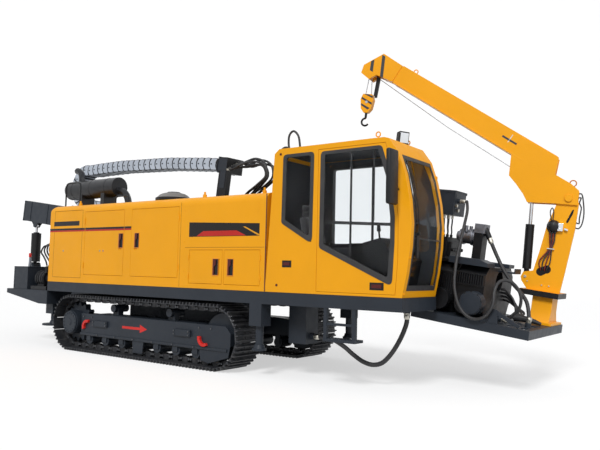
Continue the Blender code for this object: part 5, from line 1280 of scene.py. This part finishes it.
def bolt_ring(name, carrier, centre, radius, count, axis, up, surface, body, width=0.026, height=0.014):
    """Bolt heads round an axis, standing on a face that looks along it."""
    axis, up = Vector(axis), Vector(up)
    side = axis.cross(up)
    spin = carrier.to_3x3()
    places = []
    for i in range(count):
        turn = 2 * math.pi * (i + 0.5) / count
        spot = Vector(centre) + (side * math.cos(turn) + up * math.sin(turn)) * radius
        places.append((carrier @ spot, spin @ axis, spin @ up))
    return repeated(name, bolt_tree, places, width, height, surface, body)


bolt_ring("spindle_housing_bolts", carried, (0.460, drill_y, pipe_drop), 0.125, 12, (1, 0, 0), (0, 0, 1),
          pin_steel, "carriage")


# Drive motors
# Two cast hydraulic motors with flange rings and ports sit behind the gearbox, which has pressed
# covers bolted over its top and sides.
bm = bmesh.new()
for offset in (-0.135, 0.135):
    y = drill_y + offset
    add_round(bm, (-0.66, y, 0.22), (-0.615, y, 0.22), 0.075, 24, carried)
    add_round(bm, (-0.55, y, 0.22), (-0.52, y, 0.22), 0.1125, 32, carried)
    add_round(bm, (-0.40, y, 0.22), (-0.37, y, 0.22), 0.1125, 32, carried)
    for step in (-0.05, 0.05):
        add_round(bm, (-0.47, y + step, 0.30), (-0.47, y + step, 0.365), 0.026, 14, carried)
softened(piece("drive_motor_ports", bm, motor_steel, "carriage"), 0.004)
bm = bmesh.new()
for x0, x1 in ((-0.30, -0.02), (0.02, 0.30)):
    add_box(bm, (x0, drill_y - 0.19, 0.3395), (x1, drill_y + 0.19, 0.352), carried)
for y in (drill_y - 0.241, drill_y + 0.229):
    add_box(bm, (-0.30, y, -0.02), (0.30, y + 0.012, 0.24), carried)
softened(piece("gearbox_covers", bm, motor_steel, "carriage"), 0.003)


# Drive hoses
# Rubber hoses leave the chain's bracket in hexagon steel ends, arch over the power head and drop
# to its motors.
bm = bmesh.new()
head_ports = [(-0.105 + 0.050 * i, 1.02 + 0.028 * i) for i in range(6)]
for i, (y, port_z) in enumerate(head_ports):
    lift = 0.034 * math.sin(i * 1.9)
    reach = 0.05 * math.cos(i * 1.3)
    over = [(0.055, y, port_z), (0.16, y, port_z + 0.01 + lift), (0.36, y, 1.12 + lift),
            (0.60, y, 1.18 + lift * 1.6), (0.78 + reach, y + 0.01, 1.14 + lift),
            (0.84 + reach, y + 0.02, 0.98), (0.70 + reach / 2, y + 0.03, 0.82),
            (0.44, y + 0.12, 0.66 + lift), (0.27, y + 0.20, 0.52), (0.20, y + 0.27, 0.42),
            (0.19, y + 0.30, 0.335)]
    add_hose(bm, over, 0.021 if i % 2 else 0.018, carried, 12, 0.05)
piece("drive_hoses", bm, hose_rubber, "carriage", 60.0)
bm = bmesh.new()
for y, port_z in head_ports:
    add_round(bm, (0.04, y, port_z), (0.11, y, port_z + 0.004), 0.027, 6, carried)
piece("hose_ends", bm, fitting_steel, "carriage")


# Chain bracket
# Folded steel plates, painted slate and bolted to the carriage, that hold the hose chain's end.
bm = bmesh.new()
add_box(bm, (-0.142, -0.135, 0.955), (-0.10, 0.275, 1.2245), carried)
add_box(bm, (-0.142, -0.137, 0.985), (0.062, -0.128, 1.195), carried)
add_box(bm, (-0.06, -0.137, 0.70), (0.06, -0.126, 0.985), carried)
softened(piece("chain_bracket_plates", bm, slate_enamel, "carriage"), 0.004)


# Hose chain
# A steel energy chain: pressed silver-grey side plates that hook into one another, with painted
# shade in the chevron gaps, joined by cross bars over the hoses, laid along the rail, round and
# back on top.
chain_steel = bare_steel("chain_plate_steel", (0.50, 0.54, 0.60), 0.36)
chain_dark = enamel("chain_shadow", (0.020, 0.022, 0.026), 0.5, 0.0, 0.0003, 0.8)
# The chain's own solid is painted near-black as the shade inside it, seen through the gaps.
eased("hose_chain", chain_dark, 0.002)
chain_depth, chain_near, chain_wide, bend_u, bend_radius = 0.20, -0.15, 0.30, -6.215, 0.345
low_run = rail_top + 0.0003 + chain_depth / 2
chain_line = [(carriage_u - 0.1403, 1.62), (carriage_u - 0.3403, 1.62), (-3.9, 1.575), (-5.2, 1.455),
              (-5.85, 1.365)]
chain_line += arc_points((bend_u, low_run + bend_radius), bend_radius, 80, 270, 9) + [(-3.6, low_run)]
plate_pitch, plate_reach, plate_half = 0.152, 0.036, 0.094
spots = []
left = plate_pitch / 2
for (x0, z0), (x1, z1) in zip(chain_line, chain_line[1:]):
    run = math.hypot(x1 - x0, z1 - z0)
    while left < run:
        spots.append((x0 + (x1 - x0) * left / run, z0 + (z1 - z0) * left / run, (x1 - x0) / run,
                      (z1 - z0) / run))
        left += plate_pitch
    left -= run
chevron = [(-0.066, -plate_half), (0.055, -plate_half), (0.055 + plate_reach, -plate_half * 0.35),
           (0.055 + plate_reach, plate_half * 0.35), (0.055, plate_half), (-0.066, plate_half),
           (-0.066 + plate_reach * 0.85, plate_half * 0.35),
           (-0.066 + plate_reach * 0.85, -plate_half * 0.35)]
bm = bmesh.new()
for x, z, dx, dz in spots:
    link_frame = slope @ Matrix(((dx, 0, -dz, x), (0, 1, 0, 0), (dz, 0, dx, z), (0, 0, 0, 1)))
    for near, far in ((-0.006, 0.002), (chain_wide - 0.002, chain_wide + 0.006)):
        add_prism(bm, chevron, chain_near + near, chain_near + far, link_frame)
    for level in (-1, 1):
        bar = [(a, level * (chain_depth / 2 - 0.001 + b)) for a, b in strip(-0.020, 0.020, 0.0, 0.007)]
        add_prism(bm, bar, chain_near + 0.004, chain_near + chain_wide - 0.004, link_frame)
softened(piece("chain_plates", bm, chain_steel, "drill_mast"), 0.0015, 1)
spin = slope.to_3x3()
pins = []
for x, z, dx, dz in spots:
    place = Vector((x, chain_near - 0.006, z)) + Vector((dx, 0, dz)) * 0.058
    pins.append((slope @ place, spin @ Vector((0, -1, 0)), spin @ Vector((dx, 0, dz))))
repeated("chain_rivets", pin_tree, pins, 0.026, 0.005, chain_dark, "drill_mast")


# Vise and wrench housings
# Cast cylinder housings with ribs, flat head plates and round bolted end caps, all fixed to the
# front platform and painted black or slate.
bm = bmesh.new()
for step in range(12):
    u = 1.69 + step * 0.031
    add_box(bm, (u, -0.050, 0.335), (u + 0.013, -0.012, 0.475), slope)
add_box(bm, (1.675, -0.040, 0.320), (2.058, -0.012, 0.340), slope)
add_box(bm, (1.675, -0.040, 0.470), (2.058, -0.012, 0.490), slope)
for step in range(8):
    u = 1.375 + step * 0.031
    add_box(bm, (u, 0.000, 0.20), (u + 0.013, 0.028, 0.44), slope)
softened(piece("wrench_ribs", bm, black_enamel, "drill_mast"), 0.002)
bm = bmesh.new()
add_prism(bm, [(1.55, 0.5803), (2.07, 0.5803), (2.07, 0.63), (1.96, 0.665), (1.55, 0.665)], -0.06, 0.22,
          slope)
add_box(bm, (1.66, 0.80, 0.5803), (2.06, 1.02, 0.63), slope)
add_prism(bm, [(2.045, 0.530), (2.27, 0.530), (2.27, 0.600), (2.255, 0.600), (2.255, 0.550), (2.045, 0.550)],
          0.42, 0.66, slope)
softened(piece("head_plates", bm, slate_enamel, "drill_mast"), 0.006, 3)
bm = bmesh.new()
for middle, face, out in ((1.955, -0.190, 1), (1.865, 1.160, -1)):
    add_round(bm, (middle, face + out * 0.172, 0.115), (middle, face + out * 0.012, 0.115), 0.150, 40, slope)
    add_round(bm, (middle, face + out * 0.014, 0.115), (middle, face, 0.115), 0.138, 36, slope)
softened(piece("cylinder_caps", bm, slate_enamel, "drill_mast"), 0.005, 3)
bolt_ring("cap_bolts", slope, (1.955, -0.178, 0.115), 0.144, 10, (0, -1, 0), (0, 0, 1), black_enamel,
          "drill_mast",
          0.022, 0.010)


# Wrench motor
# A cast hydraulic motor with flanges and two ports on a bracket over the wrench; zinc bolts ring
# its rear cover.
motor_y, motor_w = 0.36, 0.94
bm = bmesh.new()
for start, end, radius, sides in ((1.50, 1.715, 0.095, 32), (1.46, 1.505, 0.060, 24),
                                  (1.545, 1.565, 0.112, 32), (1.660, 1.690, 0.112, 32)):
    add_round(bm, (start, motor_y, motor_w), (end, motor_y, motor_w), radius, sides, slope)
for y in (0.28, 0.44):
    add_round(bm, (1.60, y, 1.00), (1.60, y, 1.085), 0.024, 12, slope)
add_box(bm, (1.715, 0.265, 1.00), (1.855, 0.455, 1.125), slope)
softened(piece("wrench_motor", bm, motor_steel, "drill_mast"), 0.004)
bolt_ring("motor_bolts", slope, (1.545, motor_y, motor_w), 0.100, 8, (-1, 0, 0), (0, 0, 1), fitting_steel,
          "drill_mast",
          0.020, 0.010)


# Guide brace
# Flat steel bars welded between the pipe guide and the near edge of the platform.
bm = bmesh.new()
add_prism(bm, [(2.28, 0.055), (2.31, 0.095), (2.615, -0.040), (2.585, -0.078)], -0.215, -0.195, slope)
add_prism(bm, [(2.20, -0.078), (2.34, -0.078), (2.32, 0.10), (2.26, 0.10)], -0.222, -0.213, slope)
softened(piece("guide_brace", bm, slate_enamel, "drill_mast"), 0.003)


# Valve bank
# A black block of spool valves on a steel foot over the vise; a fan of thin hoses rises from it
# to zinc fittings under the valve box.
bank_ports = [(1.165 + 0.056 * step, y) for step in range(5) for y in (0.18, 0.30)]
box_ports = [(1.06 + 0.066 * step, y) for step in range(5) for y in (0.30, 0.42)]
bm = bmesh.new()
add_box(bm, (1.12, 0.06, 0.5803), (1.61, 0.64, 0.62), slope)
add_box(bm, (1.14, 0.12, 0.62), (1.42, 0.56, 0.90), slope)
add_box(bm, (1.42, 0.16, 0.64), (1.47, 0.52, 0.84), slope)
for u, y in bank_ports:
    add_round(bm, (u, y, 0.895), (u, y, 0.935), 0.020, 12, slope)
for step in range(5):
    add_round(bm, (1.47, 0.19 + step * 0.075, 0.74), (1.50, 0.19 + step * 0.075, 0.74), 0.024, 12, slope)
softened(piece("valve_bank", bm, black_enamel, "drill_mast"), 0.004)
bm = bmesh.new()
for (u, y), (top_u, top_y) in zip(bank_ports, box_ports):
    route = [(u, y, 0.925), (u + 0.01, y - 0.02, 0.97), (u * 0.7 + top_u * 0.3, y * 0.8 + top_y * 0.2, 1.03),
             (top_u * 0.8 + u * 0.2, top_y - 0.02, 1.10), (top_u, top_y, 1.16), (top_u, top_y, 1.202)]
    add_hose(bm, route, 0.011, slope, 8, 0.04)
piece("valve_hoses", bm, hose_rubber, "drill_mast", 60.0)
bm = bmesh.new()
for u, y in box_ports:
    add_round(bm, (u, y, 1.150), (u, y, 1.202), 0.018, 6, slope)
add_round(bm, (1.395, 0.29, 1.33), (1.430, 0.29, 1.33), 0.022, 6, slope)
add_round(bm, (1.395, 0.34, 1.27), (1.435, 0.34, 1.27), 0.024, 6, slope)
piece("valve_fittings", bm, fitting_steel, "drill_mast")


# Valve box lid
# A folded steel lid with turned-down edges and a flat door plate, screwed to the slate box.
bm = bmesh.new()
add_box(bm, (1.012, 0.232, 1.5195), (1.408, 0.628, 1.535), slope)
for y0, y1 in ((0.232, 0.2405), (0.6195, 0.628)):
    add_box(bm, (1.012, y0, 1.50), (1.408, y1, 1.5198), slope)
add_box(bm, (1.3995, 0.27, 1.22), (1.406, 0.59, 1.49), slope)
softened(piece("valve_box_lid", bm, slate_enamel, "drill_mast"), 0.003)


# Drill frame ends
# Steel end plates are welded over both rails, and flat stiffeners stand along the near rail's
# outer side.
bm = bmesh.new()
for y in (-0.075, 1.095):
    for u0, u1 in ((-8.318, -8.295), (1.285, 1.3035)):
        add_box(bm, (u0, y - 0.08, 0.09), (u1, y + 0.08, 0.520), slope)
for step in range(15):
    u = -8.05 + step * 0.62
    add_box(bm, (u, -0.158, 0.115), (u + 0.020, -0.149, 0.515), slope)
softened(piece("rail_stiffeners", bm, slate_enamel, "drill_mast"), 0.003)


# Slew shelf
# Black steel trim round the shelf that carries the crane's slewing column, welded to its edges.
slew_u, slew_y = 2.55, 0.95
crane = slope @ Matrix.Translation((slew_u, slew_y, 0)) @ Matrix.Rotation(math.radians(192), 4, "Z")
shelf_low, shelf_high, column_face = 0.28, 0.3501, 0.1
bm = bmesh.new()
for u0, y0, u1, y1 in ((-0.302, -0.202, 0.202, -0.198), (-0.302, 0.198, 0.202, 0.202),
                       (-0.302, -0.198, -0.298, 0.198), (0.198, -0.198, 0.202, 0.198)):
    add_box(bm, (slew_u + u0, slew_y + y0, shelf_low - 0.001), (slew_u + u1, slew_y + y1, shelf_high), slope)
add_box(bm, (2.252, 0.752, shelf_low - 0.002), (2.748, 1.148, shelf_low - 0.0002), slope)
piece("slew_shelf_trim", bm, black_enamel, "drill_mast")


# Column recesses
# Round and tapered cut-outs in the side plates of the hollow steel column, where hoses pass
# through; each is drawn as a flat patch of painted shade for the dark inside of the column.
# Near-black paint that stands in for the shade inside the hollow column.
recess_dark = enamel("recess_dark", (0.004, 0.004, 0.005), 0.7, 0.0, 0.0001, 0.8)
sleeve_red = rubber("red_sleeve_rubber", (0.16, 0.012, 0.010), 0.5)
for side, name in ((1, "outer"), (-1, "inner")):
    bm = bmesh.new()
    recess = arc_points((0.035, 0.640), 0.055, 90, 270, 8) + arc_points((0.105, 0.600), 0.055, 250, 430, 8)
    tapered = [(-0.205, 1.462), (-0.183, 1.452), (-0.128, 1.300), (-0.130, 1.275), (-0.150, 1.280),
               (-0.196, 1.400)]
    for outline in (recess, tapered):
        add_prism(bm, outline, *sorted((side * (column_face - 0.001), side * (column_face + 0.0012))), crane)
    piece("column_recesses_" + name, bm, recess_dark, "crane_column")


# Valve pod
# A round black valve cover with a bright solenoid is bolted to the column. Black and red-sleeved
# hoses run from it to the recess, held by a white tie.
bm = bmesh.new()
pod_r, pod_w = 0.018, 1.213
for foot, top, radius, end_radius in ((-0.002, 0.020, 0.085, 0.085), (0.020, 0.060, 0.080, 0.060),
                                      (0.060, 0.078, 0.060, 0.030)):
    add_round(bm, (pod_r, column_face + foot, pod_w), (pod_r, column_face + top, pod_w), radius, 32, crane,
              end_radius)
for x in (-0.012, 0.018, 0.050):
    add_round(bm, (x, column_face + 0.030, 1.150), (x, column_face + 0.034, 1.115), 0.015, 12, crane)
softened(piece("valve_pod", bm, black_enamel, "crane_column"), 0.004)
bm = bmesh.new()
add_box(bm, (-0.100, column_face - 0.001, 1.160), (-0.035, column_face + 0.050, 1.262), crane)
add_round(bm, (-0.115, column_face + 0.020, 1.195), (-0.160, column_face + 0.020, 1.180), 0.018, 12, crane)
add_round(bm, (-0.060, column_face + 0.045, 1.185), (-0.060, column_face + 0.062, 1.185), 0.014, 12, crane)
softened(piece("pod_solenoid", bm, mirror_silver, "crane_column"), 0.004)
for group, surface, count in (("black", hose_rubber, 2), ("red", sleeve_red, 2)):
    bm = bmesh.new()
    for i in range(count):
        k = i * 2 + (group == "red")
        low_r, top_r = 0.030 + 0.026 * k, -0.010 + 0.020 * k
        spread = (k - 1.5) * 0.018
        route = [(low_r, column_face - 0.020, 0.610), (low_r + 0.004, column_face + 0.016, 0.640),
                 (low_r + spread, column_face + 0.026, 0.740),
                 (0.018 + spread * 0.55, column_face + 0.024, 0.915),
                 (0.012 + spread * 1.1, column_face + 0.030, 1.030), (top_r, column_face + 0.036, 1.125)]
        add_hose(bm, route, 0.0085, crane, 10)
    piece("pod_hoses_" + group, bm, surface, "crane_column", 60.0)
tie_white = rubber("tie_white", (0.75, 0.74, 0.70), 0.5)
bm = bmesh.new()
add_box(bm, (-0.028, column_face + 0.001, 0.908), (0.062, column_face + 0.040, 0.922), crane)
softened(piece("hose_tie", bm, tie_white, "crane_column"), 0.004)


# Hoses at the crane's head
# A small loop stands over the pod, and two rubber hoses run from the column's back up to the boom.
bm = bmesh.new()
loop = [(0.045, column_face - 0.01, 1.27), (0.062, column_face + 0.016, 1.32),
        (0.080, column_face + 0.018, 1.40), (0.061, column_face + 0.018, 1.455),
        (0.036, column_face + 0.018, 1.40), (0.036, column_face + 0.016, 1.32),
        (0.030, column_face + 0.01, 1.275)]
add_hose(bm, loop, 0.007, crane, 10, 0.02)
piece("eye_hose", bm, hose_rubber, "crane_column", 60.0)
luff_r, luff_w = -0.12, 1.60
for number, (low, high, swell) in enumerate(((1.236, 1.678, 0.0), (1.304, 1.628, 0.040))):
    y = -0.020 - 0.030 * number
    back = -0.235
    route = [(back, y, low), (back - 0.045, y - 0.02, low - 0.012),
             (back - 0.080 + swell, y - 0.11 + swell, low + 0.060),
             (back - 0.085 + swell, y - 0.18 + swell, low + 0.210),
             (back - 0.055 + swell, y - 0.15 + swell, high - 0.060),
             (back - 0.030, y - 0.05, high + 0.008), (back + 0.002, y, high)]
    bm = bmesh.new()
    add_hose(bm, route, 0.009, crane, 10)
    made = piece(f"luff_hose_{number}", bm, hose_rubber, None, 60.0)
    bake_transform(made)


# Column bolts and boom pin
# Zinc bolts through the column's foot, and yellow caps pressed over both ends of the boom's pin.
bm = bmesh.new()
for r, w in ((0.290, 0.512), (0.255, 0.455), (-0.02, 0.425), (0.07, 0.425)):
    add_round(bm, (r, column_face - 0.001, w), (r, column_face + 0.012, w), 0.020 if r > 0.28 else 0.010, 6,
              crane)
softened(piece("column_bolts", bm, fitting_steel, "crane_column"), 0.002)
bm = bmesh.new()
for side in (-1, 1):
    add_round(bm, (luff_r, side * 0.135, luff_w), (luff_r, side * 0.148, luff_w), 0.048, 28, crane)
softened(piece("boom_pin_caps", bm, yellow_enamel, "crane_boom"), 0.004)


# Boom marks
# Grey hazard bands painted on the yellow tip, and a plain grey bar with a white line painted on
# both sides of the boom.
boom = crane @ Matrix.Translation((luff_r, 0, luff_w)) @ Matrix.Rotation(math.radians(-27.3), 4, "Y")
band_grey = enamel("band_grey", (0.050, 0.052, 0.058), 0.45, 0.02)
boom_low, boom_high, boom_half, nose_half = 0.115, 0.385, 0.120, 0.1157
bm = bmesh.new()
for side in (-1, 1):
    for kept_band in ([(3.125, 0.085), (3.180, 0.085), (3.332, 0.368), (3.276, 0.368)],
                      [(3.315, 0.085), (3.370, 0.085), (3.430, 0.205), (3.400, 0.252)]):
        near, far = sorted((side * (nose_half - 0.001), side * (nose_half + 0.0012)))
        add_prism(bm, kept_band, near, far, boom)
piece("tip_bands", bm, band_grey, "boom_extension")
for name, mark, surface in (("boom_mark", strip(0.955, 1.178, 0.236, 0.262), band_grey),
                            ("boom_mark_line", strip(1.062, 1.074, 0.215, 0.330), tie_white)):
    bm = bmesh.new()
    for side in (-1, 1):
        near, far = sorted((side * (boom_half - 0.001), side * (boom_half + 0.001)))
        add_prism(bm, mark, near, far, boom)
    piece(name, bm, surface, "crane_boom")


# Boom underside
# A flat steel wear plate with a collar at either end, welded under the outer boom and painted.
bm = bmesh.new()
add_box(bm, (0.72, -0.128, boom_low - 0.016), (2.952, 0.128, boom_low + 0.002), boom)
for u0, u1 in ((2.90, 2.956), (0.66, 0.72)):
    add_box(bm, (u0, -0.126, boom_low - 0.018), (u1, 0.126, boom_low + 0.02), boom)
softened(piece("boom_underside_rib", bm, yellow_enamel, "crane_boom"), 0.003)


# Boom rings
# Round steel rings for slings, welded to the outer boom's tip and to the column's crown.
bm = bmesh.new()
add_ring(bm, (2.78, 0.0, boom_high), 0.030, boom, 26)
piece("tip_ring", bm, yellow_enamel, "crane_boom", 60.0)
ring_orange = enamel("ring_paint", (0.55, 0.18, 0.03), 0.45, 0.0)
bm = bmesh.new()
add_ring(bm, (-0.148, 0.0, 1.775), 0.040, crane, 26)
piece("crown_ring", bm, ring_orange, "crane_boom", 60.0)


# Hoist rope and guide
# Wire rope runs under the boom from its root to its tip; a pointed black steel guide hangs beside
# the falls and swings with the hook.
rope_steel = bare_steel("rope_wire", (0.42, 0.43, 0.45), 0.45)
bm = bmesh.new()
add_pipe(bm, [boom @ Vector((0.66, 0.0, -0.045)), boom @ Vector((1.9, 0.0, -0.028)),
              boom @ Vector((3.30, 0.0, 0.06))], 0.005, 8)
piece("hoist_rope", bm, rope_steel, "crane_boom", 60.0)
rope_guide = [(3.20, 0.070), (3.26, 0.070), (3.145, -0.190), (3.10, -0.215), (3.085, -0.195)]
bm = bmesh.new()
add_prism(bm, rope_guide, -0.020, 0.020, boom)
softened(piece("rope_guide", bm, black_enamel, "hook"), 0.004)


# Hook block
# A yellow steel block with grey hazard bands hangs on two rope falls, with a forged black hook
# below it.
hook_frame = Matrix.Translation(boom @ Vector((3.38, 0, 0.0773)))
hook_frame = hook_frame @ (boom.to_3x3() @ Matrix.Rotation(math.radians(27.3), 3, "Y")).to_4x4()
eased("hook_block", yellow_enamel, 0.002)
hook_bands = ((-0.600, ((-0.030, 0.025), (-0.062, 0.050), (0.080, 0.117), (0.083, 0.090))),
              (-0.500, ((-0.085, 0.0), (-0.085, 0.032), (0.085, 0.117), (0.085, 0.085))),
              (-0.400, ((-0.085, 0.0), (-0.085, 0.032), (-0.010, 0.058), (0.050, 0.058))))
bm = bmesh.new()
for side in (-1, 1):
    near, far = sorted((side * 0.0495, side * 0.0515))
    for w, ends in hook_bands:
        add_prism(bm, [(a, w + b) for a, b in ends], near, far, hook_frame)
piece("hook_block_bands", bm, band_grey, "hook")
bm = bmesh.new()
crook = [(0.0, -0.675), (0.0, -0.70)] + arc_points((0.0, -0.755), 0.055, 90, -150, 16)
add_pipe(bm, smooth_route([hook_frame @ Vector((a, 0, b)) for a, b in crook], 0.008), 0.0148, 14)
add_round(bm, (0, 0, -0.595), (0, 0, -0.684), 0.0188, 18, hook_frame)
piece("hook_forging", bm, black_enamel, "hook", 60.0)
bm = bmesh.new()
for x in (-0.045, 0.045):
    add_round(bm, (x * 0.4, 0, -0.020), (x, 0, -0.345), 0.0065, 12, hook_frame)
add_round(bm, (0, -0.054, -0.46), (0, 0.054, -0.46), 0.020, 20, hook_frame)
piece("hook_ropes", bm, rope_steel, "hook", 40.0)


# Platform hoses
# Black hoses leave the wrench, lie on the platform and gather in a tapered rubber boot by the
# crane's post; each is held by its fitting at one end and by the boot at the other.
bm = bmesh.new()
for i in range(4):
    y = 0.62 + 0.055 * i
    route = [(2.045, y, 0.30 - 0.05 * i), (2.12, y, 0.29 - 0.05 * i), (2.24, y - 0.01, 0.17 - 0.03 * i),
             (2.30 + 0.02 * i, y - 0.06, 0.02), (2.25, y - 0.14, -0.045), (2.22, 0.50 + 0.01 * i, -0.035),
             (2.26, 0.45 + 0.012 * i, -0.030), (2.36, 0.455 + 0.012 * i, -0.025)]
    add_hose(bm, route, 0.016, slope)
piece("platform_hoses", bm, hose_rubber, "drill_mast", 60.0)
bm = bmesh.new()
boot = [(2.32, 0.47, -0.020), (2.40, 0.475, -0.018), (2.48, 0.50, -0.022), (2.56, 0.535, -0.035),
        (2.63, 0.57, -0.056)]
add_pipe(bm, smooth_route([slope @ Vector(p) for p in boot], 0.02),
         [0.052 - 0.0019 * i for i in range(len(smooth_route(boot, 0.02)))], 18)
piece("rubber_boot", bm, hose_rubber, "drill_mast", 60.0)


# Control box
# A lever in a steel sleeve with a red grip stands on the grey box behind the hood; the box has a
# folded steel lid and rear plate.
lever_x, lever_y = -3.24, -1.08
bm = bmesh.new()
add_round(bm, (lever_x, lever_y, 1.405), (lever_x, lever_y, 1.60), 0.028, 16, on_machine, 0.020)
piece("lever_sleeve", bm, motor_steel, "chassis", 40.0)
bm = bmesh.new()
add_round(bm, (lever_x, lever_y, 1.585), (lever_x, lever_y, 1.661), 0.0275, 16)
softened(piece("lever_grip", bm, red_enamel, "chassis"), 0.005, 3)
bm = bmesh.new()
add_box(bm, (-3.505, -1.235, 1.395), (-3.045, -0.805, 1.412))
add_box(bm, (-3.504, -1.234, 0.992), (-3.480, -0.806, 1.395))
softened(piece("control_box_lid", bm, slate_enamel, "chassis"), 0.004)


# Rear pump
# A finned black pump on a cast foot, bolted to the rear frame; its four hoses bend back into the
# hood's rear wall in zinc fittings.
pump_y, pump_z = -1.04, 1.20
pump_ports = [(-2.56 + 0.02 * i, -1.15 + 0.06 * i) for i in range(4)]
bm = bmesh.new()
add_box(bm, (-2.95, -1.22, 0.9903), (-2.46, -0.86, 1.06))
add_round(bm, (-2.90, pump_y, pump_z), (-2.62, pump_y, pump_z), 0.140, 32)
add_round(bm, (-2.62, pump_y, pump_z), (-2.50, pump_y, pump_z), 0.100, 28)
add_box(bm, (-2.86, -1.14, 1.05), (-2.66, -0.94, 1.14))
for x in (-2.86, -2.80, -2.72, -2.66):
    add_round(bm, (x, pump_y, pump_z), (x + 0.018, pump_y, pump_z), 0.150, 32)
for x, y in pump_ports:
    add_round(bm, (x, y, 1.30), (x, y, 1.42), 0.030, 14)
softened(piece("rear_pump", bm, black_enamel, "chassis"), 0.004)
bm = bmesh.new()
for i, (port_x, port_y) in enumerate(pump_ports):
    y, rise = port_y - 0.02, 0.03 * i
    route = [(port_x, port_y, 1.40), (port_x - 0.01, y, 1.50), (-2.66 - rise, y, 1.60 + rise),
             (-2.74, y, 1.68 + 0.04 * i), (-2.66, y, 1.78 + rise), (-2.52, y, 1.80 + rise),
             (-2.40, y, 1.80 + rise), (-2.365, y, 1.80 + rise)]
    add_hose(bm, route, 0.015, on_machine, 10)
piece("rear_hoses", bm, hose_rubber, "chassis", 60.0)
bm = bmesh.new()
for i, (x, y) in enumerate(pump_ports):
    wall_y, wall_z = y - 0.02, 1.80 + 0.03 * i
    add_round(bm, (-2.368, wall_y, wall_z), (-2.42, wall_y, wall_z), 0.024, 6)
    add_round(bm, (x, y, 1.38), (x, y, 1.44), 0.024, 6)
piece("rear_fittings", bm, fitting_steel, "chassis")
